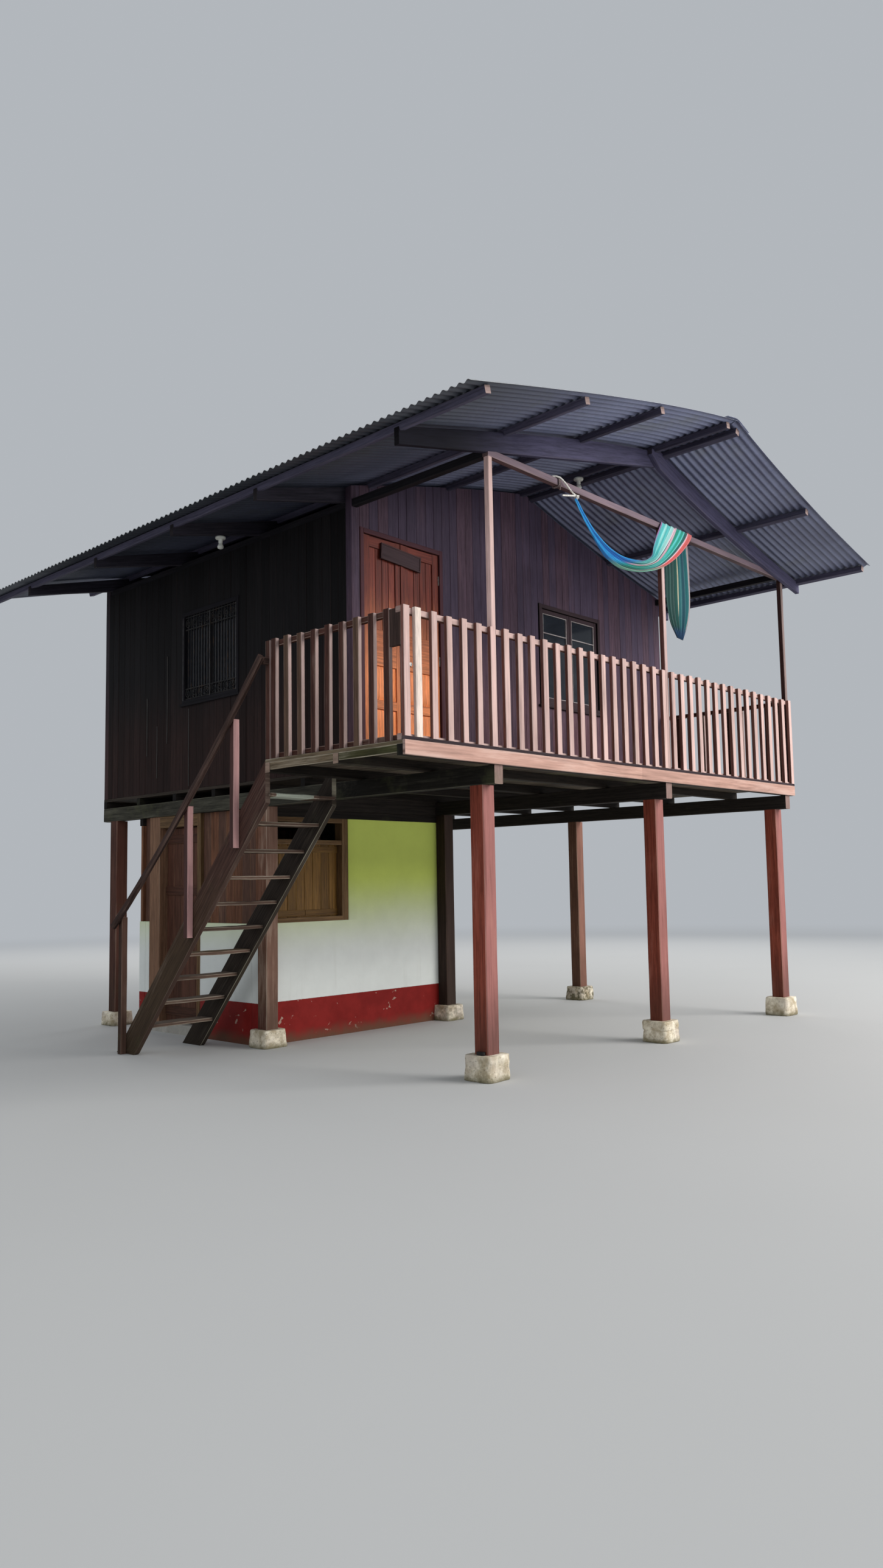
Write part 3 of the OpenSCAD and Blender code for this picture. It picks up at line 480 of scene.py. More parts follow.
def wallPaint():
    # Painted render: white low down turning lime above the sill, painted light and shade by height on the
    # front, a red base band, chips and rain dirt on the outside, and inside the room a dark grey: unpainted
    # plaster darkened further by painted shade
    start = newPaint("limeWhiteRender", Specular_IOR_Level=0.12)
    place = start.place()
    east, north, height = place.split()
    cloud, grit, soft = place.noise(1.1, 4), place.noise(34, 5, 0.65), place.noise(5.5, 4, 0.6)
    tint = (height + (cloud - 0.5) * 0.16).step(0.76, 1.66).tint((0.80, 0.825, 0.79), (0.59, 0.69, 0.150))
    # Painted light and shade by height on the room's front face: darker from 0.9 m up to 1.2 m, lighter above 1.7 m
    shade = height.step(1.2, 1.7) * 0.13 + height.step(1.75, 2.2) * 0.20 - height.step(0.5, 0.9) * 0.13
    tint = tint.dimmed(0.93 + soft * 0.13 + shade * (1 - north.step(0.08, 0.12)))
    drip = place.times((9, 9, 0.7)).noise(1, 4).step(0.56, 0.8) * (1 - height.step(0.35, 1.3)) * 0.25
    tint = drip.tint(tint, (0.42, 0.40, 0.33))
    band = 1 - (height + (grit - 0.5) * 0.006).step(0.398, 0.402)
    tint = band.tint(tint, soft.step(0.3, 0.7).tint((0.205, 0.012, 0.010), (0.265, 0.018, 0.015)))
    chip = place.times((1, 1, 1.5)).noise(8.5, 5, 0.55, 0.4).step(0.655, 0.672) * band
    tint = chip.tint(tint, (0.45, 0.29, 0.23))
    foot = (1 - (height + (soft - 0.5) * 0.16).step(0.0, 0.14)) * 0.85
    tint = foot.tint(tint, (0.13, 0.075, 0.045))
    # Inside the room a dark grey: unpainted plaster, darkened further as painted shade
    inside = east.step(-2.089, -2.088) * (1 - east.step(0.391, 0.392))
    inside = inside * north.step(0.130, 0.131) * (1 - north.step(2.160, 2.161))
    tint = inside.tint(tint, soft.step(0.3, 0.7).tint((0.055, 0.052, 0.045), (0.085, 0.08, 0.068)))
    return finishPaint(start, tint, 0.74 + grit * 0.14 - band * 0.22, grit * 0.0012 + soft * 0.0022 - chip * 0.0015)


def stonePaint():
    # Pale porous limestone with pits, lichen and a damp foot; a high tone is a mossy one
    start = newPaint("paleStone")
    place, tone = start.place(), start.board()[2]
    height = place.split()[2]
    body, grit = place.noise(9, 6, 0.65), place.noise(60, 4, 0.6)
    pits = 1 - place.cells(38).step(0.02, 0.32)
    tint = body.step(0.36, 0.66).tint((0.47, 0.385, 0.255), (0.92, 0.84, 0.68))
    tint = (place.noise(3.1, 3).step(0.5, 0.75) * 0.55).tint(tint, (0.55, 0.47, 0.42))
    tint = (pits * 0.5).tint(tint, (0.20, 0.16, 0.11))
    dark = (body * 0.5 + place.noise(24, 4).step(0.35, 0.65) * 0.5).step(0.25, 0.75) * tone.step(0.5, 1.0)
    tint = (dark * 0.9).tint(tint, (0.095, 0.080, 0.034))
    foot = 1 - (height + (body - 0.5) * 0.1).step(0.0, 0.07)
    tint = (foot * 0.75).tint(tint, (0.13, 0.115, 0.05))
    return finishPaint(start, tint, 0.86 + grit * 0.1, body * 0.012 + grit * 0.0016 - pits * 0.004)


def steelPaint():
    # Galvanised sheets: zinc above with rust at laps, screws and eaves; below, dull blue grey with dirt
    # clouds, painted shade towards the left eave and painted light in a band near the middle, and on both
    # sides painted shade and light that follow the wave. The board value's first part is 0 on top and 1 below
    start = newPaint("roofSteel", Metallic=0.35)
    along, across = start.grain()
    below, _, tone = start.board()
    place = start.place()
    east, north, _ = place.split()
    streak = start.joined(along * 0.9, across * 26, tone * 13).noise(1, 5, 0.6)
    cloud, spangle = place.noise(1.6, 4), place.cells(30.0, 1).split()[0]
    zinc = (spangle * 0.35 + streak * 0.65).step(0.25, 0.75).tint((0.33, 0.345, 0.35), (0.55, 0.57, 0.575))
    rust = (streak * 0.55 + place.noise(5, 5, 0.7) * 0.45).step(0.57, 0.68)
    top = (rust * 0.75).tint(zinc, (0.21, 0.085, 0.04))
    top = (place.noise(3, 5).step(0.5, 0.75) * 0.4).tint(top, (0.16, 0.15, 0.12))
    under = (streak * 0.35 + cloud * 0.65).step(0.3, 0.7).tint((0.142, 0.154, 0.240), (0.205, 0.224, 0.335))
    under = (place.noise(1.7, 4, 0.6).step(0.55, 0.75) * 0.35).tint(under, (0.15, 0.155, 0.12))
    # Painted shade towards the left eave, and painted light in a band from x -0.8 to 0.6
    under = ((1 - east.step(-3.3, -1.7)) * 0.8).tint(under, (0.060, 0.068, 0.070))
    under = under.dimmed(0.86 + east.step(-2.2, -0.8) * (1 - east.step(0.6, 2.6)) * 0.40)
    # The crests follow the sheets' own wave, a quarter turn on because its -cos is a sine here. Where the wave
    # stands high the underside is darkened and the top lightened: painted shade in the grooves below and
    # painted light on the crests above
    waveStart = (house["middle"][1] - roof["front"]) * 2 * math.pi / roof["step"] - math.pi / 2
    crest = (north * (2000 * math.pi / roof["step"]) + waveStart).sine() * 0.5 + 0.5
    under, top = under.dimmed(1.12 - crest * 0.42), top.dimmed(0.86 + crest * 0.18)
    tint = below.step(0.4, 0.6).tint(top, under).dimmed(0.88 + tone * 0.24)
    return finishPaint(start, tint, 0.42 + rust * 0.35 + cloud * 0.12, streak * 0.0004 + rust * 0.0004)


def clothPaint():
    # Striped woven cotton: bands of colour across the cloth, threads along and across it. The board values
    # are the shares across and along; from 0.66 of its length on the cloth shows its shaded side, with most
    # of its stripes darkened there as painted shade
    start = newPaint("stripedCotton", Sheen_Weight=0.15, Sheen_Roughness=0.5)
    along, across = start.grain()
    share, done, _ = start.board()
    wander = share + (start.joined(along * 1.5, share * 6, 0.0).noise(1, 2) - 0.5) * 0.02
    teal, green, dark = (0.10, 0.58, 0.57), (0.01, 0.38, 0.27), (0.01, 0.14, 0.12)
    rose, pale, sand = (0.80, 0.52, 0.60), (0.38, 0.76, 0.72), (0.62, 0.56, 0.36)
    tint = wander.ramp([
        (0, (0.30, 0.16, 0.36)), (0.04, teal), (0.13, pale), (0.20, teal), (0.27, dark), (0.31, pale), (0.39, rose),
        (0.45, dark), (0.48, rose), (0.51, green), (0.56, teal), (0.66, green), (0.71, teal), (0.78, dark),
        (0.83, rose)])
    hem = done.step(0.36, 0.42).tint((0.22, 0.56, 0.42), (0.78, 0.18, 0.17))
    tint = wander.step(0.858, 0.866).tint(tint, hem)
    # The stripes of the cloth's shaded side, mostly darkened as painted shade
    behind = wander.ramp([
        (0, (0.007, 0.058, 0.050)), (0.16, (0.014, 0.105, 0.085)), (0.22, (0.006, 0.050, 0.044)),
        (0.38, (0.012, 0.095, 0.080)), (0.43, (0.005, 0.04, 0.036)), (0.50, sand), (0.535, (0.005, 0.12, 0.13)),
        (0.68, (0.005, 0.07, 0.10)), (0.82, (0.008, 0.14, 0.15)), (0.955, (0.42, 0.34, 0.34))])
    behind = done.step(0.955, 0.985).tint(behind, (0.006, 0.05, 0.13))
    tint = done.step(0.66, 0.69).tint(tint, behind)
    sky = (share * 9 + along * 2).sine().step(-0.6, 0.9).tint((0.016, 0.20, 0.59), (0.06, 0.52, 0.90))
    tint = (1 - (done + (wander - 0.5) * 0.09).step(0.25, 0.31)).tint(tint, sky)
    threads, weft = (across * 2400).sine() * 0.5 + 0.5, (along * 1500).sine() * 0.5 + 0.5
    fuzz = start.joined(along * 60, across * 500, 0.0).noise(1, 3)
    tint = tint.dimmed(0.74 + threads * 0.2 + fuzz * 0.24)
    return finishPaint(start, tint, 0.82 + fuzz * 0.1, threads * 0.0006 + weft * 0.0003)


def plainPaint(name, tintA, tintB, scale, dull, bump, dirt=None, **fixed):
    # One finish clouded between two tints, with fine grit and, where asked, dirt in patches
    start = newPaint(name, **fixed)
    place = start.place()
    cloud, grit = place.noise(scale, 5, 0.6), place.noise(scale * 9, 4, 0.6)
    tint = cloud.step(0.35, 0.65).tint(tintA, tintB)
    if dirt:
        tint = (place.noise(scale * 0.7, 5, 0.7).step(0.5, 0.7) * 0.7).tint(tint, dirt)
    return finishPaint(start, tint, dull + (grit - 0.5) * 0.25, grit * bump + cloud * bump)


def glassPaint(name, tintA, tintB):
    # Window glass in front of a dark room, a little dusty
    start = newPaint(name, Transmission_Weight=0.5, IOR=1.3, Specular_IOR_Level=0.3)
    place = start.place()
    dust = place.noise(3.5, 5, 0.6)
    tint, dull = dust.step(0.4, 0.7).tint(tintA, tintB), 0.08 + dust.step(0.45, 0.8) * 0.25
    return finishPaint(start, tint, dull, place.noise(2.0, 2) * 0.002)


def floorPaint(name, tint, glow, near, far):
    # A matt floor that gives way to a glow as bright as the backdrop, from near to far off, so that no
    # horizon shows
    start = newPaint(name, Specular_IOR_Level=0.0)
    place, tree = start.place(), start.tree
    finishPaint(start, place.noise(0.4, 3).tint(tint, scaled(tint, 1.04)), place.noise(3, 2) * 0.1 + 0.85)
    away = start.node("VectorMath", {"operation": "LENGTH"}, {0: place}, 1)
    shine = start.node("Emission", None, {"Color": glow})
    mix = start.node("MixShader", None, {0: away.step(near, far), 2: shine})
    tree.links.new(start.shader.outputs[0], mix.socket.node.inputs[1])
    tree.links.new(mix.socket, start.out.inputs[0])
    return start.material


print("finishes")
woods = {
    "redPost": dict(base=(0.29, 0.066, 0.040), deep=(0.15, 0.032, 0.019), bare=(0.42, 0.21, 0.16),
        fadedAndLit=(0.34, 0.138, 0.122), wear=0.45, edge=0.7, spread=0.12, dull=0.6, damp=0.5, patchy=0.65, grime=0.45),
    "brownPost": dict(base=(0.105, 0.045, 0.032), deep=(0.045, 0.019, 0.014), bare=(0.30, 0.20, 0.15),
        fadedAndLit=(0.16, 0.068, 0.050), wear=0.45, edge=0.6, spread=0.2, dull=0.7, moss=0.2, damp=0.4, grime=0.4),
    "plainPost": dict(base=(0.185, 0.088, 0.058), deep=(0.095, 0.046, 0.030), bare=(0.40, 0.29, 0.21),
        fadedAndLit=(0.31, 0.150, 0.110), wear=0.45, edge=0.6, spread=0.1, dull=0.7, moss=0.1, damp=0.3, grime=0.4),
    "flakedPost": dict(base=(0.24, 0.108, 0.066), deep=(0.12, 0.052, 0.032), bare=(0.52, 0.40, 0.31),
        fadedAndLit=(0.26, 0.145, 0.105), wear=0.85, edge=0.8, spread=0.1, dull=0.72, damp=0.5, patchy=0.85,
        lower=(0.3, 0.5, (0.22, 0.07, 0.05)), grime=0.35),
    "darkPost": dict(base=(0.040, 0.024, 0.018), deep=(0.017, 0.011, 0.009), bare=(0.14, 0.09, 0.07),
        fadedAndLit=(0.055, 0.034, 0.027), wear=0.35, spread=0.1, dull=0.72, damp=0.3, grime=0.3),
    # frameWood's cut ends are darker still: painted shade at the joists' ends
    "frameWood": dict(base=(0.026, 0.021, 0.018), deep=(0.011, 0.009, 0.008), bare=(0.085, 0.07, 0.052), wear=0.2,
        edge=0.3, dull=0.75, moss=0.15, ends=(0.012, 0.010, 0.009)),
    "balconyFrame": dict(base=(0.028, 0.022, 0.018), deep=(0.011, 0.009, 0.008), bare=(0.085, 0.07, 0.052),
        wear=0.2, edge=0.35, dull=0.75, moss=0.15, ends=(0.34, 0.235, 0.18)),
    "outerFrame": dict(base=(0.024, 0.021, 0.017), deep=(0.010, 0.009, 0.007), bare=(0.17, 0.16, 0.12), wear=0.35,
        edge=0.7, spread=0.1, dull=0.78, moss=0.3, grime=0.5, other=(0.095, 0.090, 0.066),
        ends=(0.30, 0.20, 0.175)),
    "edgeBoards": dict(base=(0.21, 0.155, 0.098), deep=(0.09, 0.066, 0.040), bare=(0.55, 0.48, 0.37), wear=0.7,
        edge=1.0, spread=0.1, dull=0.8, moss=0.22, patchy=0.7, grime=0.3, other=(0.056, 0.052, 0.020)),
    "palePaint": dict(base=(0.215, 0.090, 0.070), deep=(0.100, 0.039, 0.030), bare=(0.58, 0.45, 0.40),
        fadedAndLit=(0.62, 0.428, 0.388), wear=0.4, edge=0.6, spread=0.10, dull=0.62, fresh=(0.92, 0.76, 0.66),
        grime=0.36),
    "palePost": dict(base=(0.86, 0.59, 0.54), deep=(0.62, 0.40, 0.36), bare=(0.88, 0.66, 0.60),
        fadedAndLit=(0.66, 0.46, 0.42), wear=0.4, edge=0.4, spread=0.05, dull=0.62, grime=0.2),
    "slimPaint": dict(base=(0.20, 0.085, 0.072), deep=(0.095, 0.038, 0.032), bare=(0.42, 0.29, 0.25),
        fadedAndLit=(0.60, 0.425, 0.395), wear=0.3, edge=0.4, spread=0.1, dull=0.62, grime=0.3,
        other=(0.10, 0.040, 0.034)),
    "dimPost": dict(base=(0.085, 0.040, 0.036), deep=(0.04, 0.018, 0.016), bare=(0.30, 0.21, 0.18),
        fadedAndLit=(0.26, 0.19, 0.175), wear=0.3, edge=0.4, spread=0.1, dull=0.62, grime=0.35),
    "solePaint": dict(base=(0.040, 0.024, 0.030), deep=(0.018, 0.011, 0.014), bare=(0.20, 0.15, 0.14), wear=0.35,
        spread=0.1, grime=0.3),
    # The fascia is a little lighter west of x -2.8: painted light on its left end
    "fasciaPaint": dict(base=(0.15, 0.07, 0.05), deep=(0.07, 0.03, 0.02), bare=(0.56, 0.44, 0.39),
        fadedAndLit=(0.490, 0.290, 0.232), wear=0.60, edge=0.6, spread=0.15, dull=0.62, patchy=0.8, grime=0.46,
        shady=(-2.8, -0.8, 1.07)),
    "sidePaint": dict(base=(0.090, 0.036, 0.026), deep=(0.034, 0.013, 0.010), bare=(0.40, 0.29, 0.24),
        fadedAndLit=(0.50, 0.36, 0.33), wear=0.45, edge=0.85, spread=0.18, grime=0.45, other=(0.112, 0.064, 0.042)),
    "deckBoards": dict(base=(0.12, 0.095, 0.070), deep=(0.05, 0.038, 0.028), bare=(0.34, 0.29, 0.22), dull=0.78,
        moss=0.45),
    "innerBoards": dict(base=(0.048, 0.037, 0.029), deep=(0.021, 0.016, 0.012), bare=(0.11, 0.09, 0.07), wear=0.3,
        edge=0.3, spread=0.2, dull=0.78, ends=(0.03, 0.024, 0.02)),
    # The front wall's boards are paler low down, darkening from 2.9 m up to 4.3 m, and dimmer west of x -1.3:
    # painted shade under the roof and at the wall's left end
    "wallBoards": dict(base=(0.097, 0.071, 0.114), deep=(0.061, 0.044, 0.071), bare=(0.17, 0.092, 0.105),
        wear=0.35, edge=0.25, spread=0.10, dull=0.62, lower=(2.9, 4.3, (0.198, 0.098, 0.118)), grime=0.25,
        other=(0.117, 0.072, 0.102), shady=(-1.3, 0.6, 0.76)),
    # The back wall's boards are paler below 4.2 m and darker towards the top: painted shade under the roof
    "backBoards": dict(base=(0.044, 0.033, 0.041), deep=(0.022, 0.017, 0.021), bare=(0.12, 0.075, 0.072),
        wear=0.35, edge=0.3, spread=0.14, lower=(2.8, 4.2, (0.078, 0.040, 0.040)), grime=0.3,
        other=(0.050, 0.032, 0.036)),
    # The side walls' boards are near black, paler below 3.9 m: their dark paint deepened by painted shade, most of
    # all under the roof
    "sideBoards": dict(base=(0.0105, 0.0090, 0.0098), deep=(0.0055, 0.0048, 0.0052), bare=(0.034, 0.024, 0.022),
        wear=0.3, edge=0.4, dull=0.72, fresh=(0.085, 0.08, 0.075), lower=(2.9, 3.9, (0.030, 0.015, 0.013))),
    "rafterWood": dict(base=(0.086, 0.080, 0.140), deep=(0.050, 0.046, 0.080), bare=(0.15, 0.125, 0.14), wear=0.2,
        edge=0.3, spread=0.14, dull=0.7, ends=(0.070, 0.058, 0.075)),
    "eaveWood": dict(base=(0.040, 0.036, 0.050), deep=(0.019, 0.017, 0.024), bare=(0.10, 0.08, 0.08), wear=0.2,
        edge=0.3, spread=0.14, dull=0.72, ends=(0.030, 0.025, 0.028)),
    "purlinWood": dict(base=(0.092, 0.085, 0.132), deep=(0.050, 0.046, 0.071), bare=(0.14, 0.12, 0.125), wear=0.2,
        edge=0.3, spread=0.2, dull=0.7, ends=(0.36, 0.26, 0.24)),
    "plateWood": dict(base=(0.024, 0.021, 0.026), deep=(0.011, 0.010, 0.012), bare=(0.07, 0.06, 0.06), wear=0.2,
        edge=0.3, spread=0.2, dull=0.72),
    # The door is dark red at the top and turns bright orange from 4.3 m down to 3.3 m: painted shade under the roof
    "doorWood": dict(base=(0.195, 0.034, 0.019), deep=(0.085, 0.013, 0.008), bare=(0.04, 0.008, 0.006), wear=0.1,
        edge=1.0, spread=0.24, dull=0.5, grit=0.8, lower=(3.3, 4.3, (0.92, 0.285, 0.100)), gloss=0.2, grime=0.42),
    "frameRed": dict(base=(0.062, 0.020, 0.022), deep=(0.028, 0.009, 0.011), bare=(0.17, 0.07, 0.06),
        fadedAndLit=(0.074, 0.027, 0.036), wear=0.25, edge=0.4, spread=0.15, dull=0.55),
    "signWood": dict(base=(0.060, 0.034, 0.036), deep=(0.028, 0.015, 0.016), bare=(0.17, 0.10, 0.09),
        fadedAndLit=(0.070, 0.043, 0.048), wear=0.35, edge=0.6, spread=0.15, dull=0.62, grime=0.4),
    "windowDark": dict(base=(0.014, 0.011, 0.012), deep=(0.007, 0.006, 0.006), bare=(0.12, 0.085, 0.085),
        fadedAndLit=(0.050, 0.030, 0.036), wear=0.2, edge=0.35, spread=0.15, dull=0.55),
    "sideFrame": dict(base=(0.013, 0.0115, 0.015), deep=(0.008, 0.0072, 0.009), bare=(0.042, 0.034, 0.036),
        wear=0.2, edge=0.35, spread=0.15, dull=0.74),
    "stairWood": dict(base=(0.090, 0.044, 0.034), deep=(0.038, 0.019, 0.015), bare=(0.28, 0.21, 0.165),
        fadedAndLit=(0.095, 0.056, 0.044), wear=0.52, edge=0.6, spread=0.05, dull=0.78, moss=0.12, damp=0.3, patchy=0.62,
        lower=(0.8, 1.9, (0.080, 0.050, 0.030)), grime=0.47),
    "innerStringer": dict(base=(0.044, 0.032, 0.025), deep=(0.019, 0.014, 0.011), bare=(0.36, 0.33, 0.25),
        fadedAndLit=(0.060, 0.046, 0.035), wear=0.22, edge=1.0, spread=0.1, dull=0.78, moss=0.1, damp=0.3, grime=0.3),
    "treadWood": dict(base=(0.125, 0.082, 0.060), deep=(0.052, 0.034, 0.025), bare=(0.44, 0.36, 0.28),
        fadedAndLit=(0.135, 0.084, 0.063), edge=1.0, spread=0.28, dull=0.8, moss=0.06, damp=0.2,
        fresh=(0.54, 0.58, 0.48), lower=(0.7, 1.5, (0.18, 0.135, 0.105)), grime=0.3, other=(0.15, 0.105, 0.06)),
    "newelPaint": dict(base=(0.088, 0.040, 0.035), deep=(0.04, 0.018, 0.016), bare=(0.46, 0.29, 0.26),
        fadedAndLit=(0.60, 0.335, 0.320), wear=0.3, spread=0.12, dull=0.6, grime=0.25),
    "footNewel": dict(base=(0.070, 0.036, 0.024), deep=(0.03, 0.016, 0.012), bare=(0.30, 0.20, 0.15),
        fadedAndLit=(0.16, 0.085, 0.062), edge=0.6, spread=0.12, moss=0.2, damp=0.3, grime=0.4),
    "tiePaint": dict(base=(0.15, 0.085, 0.086), deep=(0.07, 0.040, 0.041), bare=(0.42, 0.31, 0.29),
        fadedAndLit=(0.205, 0.148, 0.175), wear=0.38, edge=0.4, spread=0.12, dull=0.6, grime=0.35),
    "poleWood": dict(base=(0.070, 0.040, 0.033), deep=(0.030, 0.017, 0.014), bare=(0.24, 0.155, 0.125), wear=0.55,
        spread=0.1, dull=0.7, patchy=0.65, grime=0.45),
    "shutterWood": dict(base=(0.21, 0.105, 0.022), deep=(0.10, 0.048, 0.010), bare=(0.36, 0.22, 0.07), wear=0.25,
        edge=0.4, spread=0.24, dull=0.45, grit=0.6, gloss=0.2, grime=0.25),
    "jambWood": dict(base=(0.20, 0.115, 0.052), deep=(0.09, 0.050, 0.023), bare=(0.40, 0.29, 0.17), wear=0.35,
        spread=0.2, dull=0.6, grime=0.28),
    "hingePost": dict(base=(0.25, 0.135, 0.080), deep=(0.13, 0.068, 0.040), bare=(0.40, 0.28, 0.20), wear=0.35,
        spread=0.2, dull=0.6, grime=0.3),
    "brownBoards": dict(base=(0.24, 0.102, 0.056), deep=(0.10, 0.042, 0.023), bare=(0.42, 0.25, 0.14), wear=0.4,
        edge=0.4, spread=0.3, dull=0.64, damp=0.2, grime=0.38, other=(0.110, 0.055, 0.038)),
    "roomDoorWood": dict(base=(0.120, 0.050, 0.032), deep=(0.055, 0.022, 0.014), bare=(0.26, 0.15, 0.09), wear=0.3,
        edge=0.4, spread=0.3, dull=0.64, damp=0.2, grime=0.4),
}
woods["girderWood"] = {**woods["frameWood"], "ends": (0.30, 0.20, 0.175)}
# The front rafter's cut ends are near black and its west end dims to 0.12 of itself: painted shade
woods["frontRafter"] = {**woods["rafterWood"], "ends": (0.008, 0.007, 0.009), "shady": (-2.6, -1.3, 0.12)}
paints = {name: woodPaint(name, **kind) for name, kind in woods.items()}
# Tints, size of the clouds, dullness, height of the bump and the tint of the dirt
plain = {
    "concrete": ("worn_concrete", (0.36, 0.34, 0.30), (0.50, 0.47, 0.42), 5, 0.8, 0.002, (0.2, 0.17, 0.13)),
    "screws": ("zincScrews", (0.30, 0.29, 0.27), (0.45, 0.44, 0.42), 40, 0.45, 0.0002, (0.22, 0.09, 0.04)),
    "lamp": ("whitePlastic", (0.66, 0.67, 0.62), (0.78, 0.79, 0.74), 9, 0.32, 0.0002, (0.45, 0.43, 0.36)),
    "rope": ("cottonRope", (0.58, 0.55, 0.50), (0.78, 0.76, 0.71), 60, 0.85, 0.0008),
    "dullRope": ("dullRope", (0.13, 0.095, 0.095), (0.21, 0.16, 0.155), 60, 0.85, 0.0008),
    "bead": ("paleBead", (0.30, 0.25, 0.25), (0.48, 0.43, 0.42), 18, 0.5, 0.0003, (0.10, 0.08, 0.085)),
}
paints.update({name: plainPaint(*kind) for name, kind in plain.items()})
paints.update({
    "render": wallPaint(), "stone": stonePaint(), "steel": steelPaint(), "cloth": clothPaint(),
    "iron": plainPaint("blackIron", (0.012, 0.012, 0.013), (0.030, 0.027, 0.026), 14, 0.6, 0.0003,
                       (0.07, 0.04, 0.022), Specular_IOR_Level=0.15),
    "hinge": plainPaint("dullSteel", (0.20, 0.19, 0.18), (0.34, 0.33, 0.31), 30, 0.42, 0.0002,
                        (0.2, 0.09, 0.04), Metallic=0.8),
    "dimBead": plainPaint("dimBead", (0.045, 0.042, 0.042), (0.085, 0.08, 0.08), 18, 0.6, 0.0003,
                          (0.02, 0.018, 0.018), Specular_IOR_Level=0.15),
    "glass": glassPaint("windowGlass", (0.042, 0.050, 0.064), (0.070, 0.080, 0.098)),
    "sideGlass": glassPaint("sideGlass", (0.034, 0.035, 0.044), (0.050, 0.050, 0.060)),
})

cameraSet = {
    "place": (-8.4539, -8.2829, 1.5199), "heading": 46.79, "tilt": 5.29, "lean": -0.96, "film": 36.0,
    "focal": 1754 / 2576,
}
print("camera and lights")
heading, tilt, lean = (math.radians(cameraSet[k]) for k in ("heading", "tilt", "lean"))
ahead = Vector((math.sin(heading) * math.cos(tilt), math.cos(heading) * math.cos(tilt), math.sin(tilt)))
across = Vector((math.cos(heading), -math.sin(heading), 0))
upward = across.cross(ahead)
right = across * math.cos(lean) + upward * math.sin(lean)
up = upward * math.cos(lean) - across * math.sin(lean)
lens = bpy.data.cameras.new("camera")
lens.sensor_fit, lens.sensor_width = "AUTO", cameraSet["film"]
lens.lens = cameraSet["film"] * cameraSet["focal"]
lens.clip_end = 200
camera = bpy.data.objects.new("camera", lens)
bpy.context.scene.collection.objects.link(camera)
camera.matrix_world = Matrix((right, up, -ahead)).transposed().to_4x4()
camera.location = cameraSet["place"]
bpy.context.scene.camera = camera
bpy.context.scene.view_settings.view_transform = "Standard"

studio = {
    "sky": (0.86, 0.91, 0.97), "glow": 0.52, "floor": (0.54, 0.54, 0.53), "half": 60, "fade": (8.0, 27.0),
    "aim": (0, 0, 2.2),
    "lights": (
        ("key", (7, -15, 10), 10, 2500, (1.0, 0.98, 0.96)),
        ("front", (3, -17, 2.4), 9, 520, (1.0, 0.99, 0.97)),
        ("fill", (-15, -5, 7), 10, 220, (0.90, 0.95, 1.0)),
        ("back", (4, 17, 11), 12, 900, (1.0, 0.99, 0.97)),
        ("side", (15, 4, 9), 10, 500, (0.98, 0.99, 1.0)),
    ),
}
for name, place, size, power, tint in studio["lights"]:
    light = bpy.data.lights.new(name, "AREA")
    light.shape, light.size, light.energy, light.color = "SQUARE", size, power, tint
    lamp = bpy.data.objects.new(name, light)
    bpy.context.scene.collection.objects.link(lamp)
    lamp.location = place
    lamp.rotation_mode = "QUATERNION"
    lamp.rotation_quaternion = (Vector(studio["aim"]) - Vector(place)).to_track_quat("-Z", "Y")
sky = bpy.data.worlds.new("studio")
sky.use_nodes = True
sky.node_tree.nodes["Background"].inputs[0].default_value = (*studio["sky"], 1)
sky.node_tree.nodes["Background"].inputs[1].default_value = studio["glow"]
bpy.context.scene.world = sky
floorMesh, half = bpy.data.meshes.new("studioFloor"), studio["half"]
floorMesh.from_pydata([(-half, -half, 0), (half, -half, 0), (half, half, 0), (-half, half, 0)], [], [(0, 1, 2, 3)])
glow = scaled(studio["sky"], studio["glow"])
floorMesh.materials.append(floorPaint("studioFloor", studio["floor"], glow, *studio["fade"]))
studioFloor = bpy.data.objects.new("studioFloor", floorMesh)
bpy.context.scene.collection.objects.link(studioFloor)
studioFloor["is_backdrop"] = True

stones = {
    "side": 280, "taper": 0.94, "lump": 12, "heights": (200, 170, 150), "seed": 11,
    "tones": ((0.64, 0.15, 0.1), (0.35, 0.75, 1.0), (0.5, 0.5, 0.5)),  # by row and column
}
print("stones and posts")


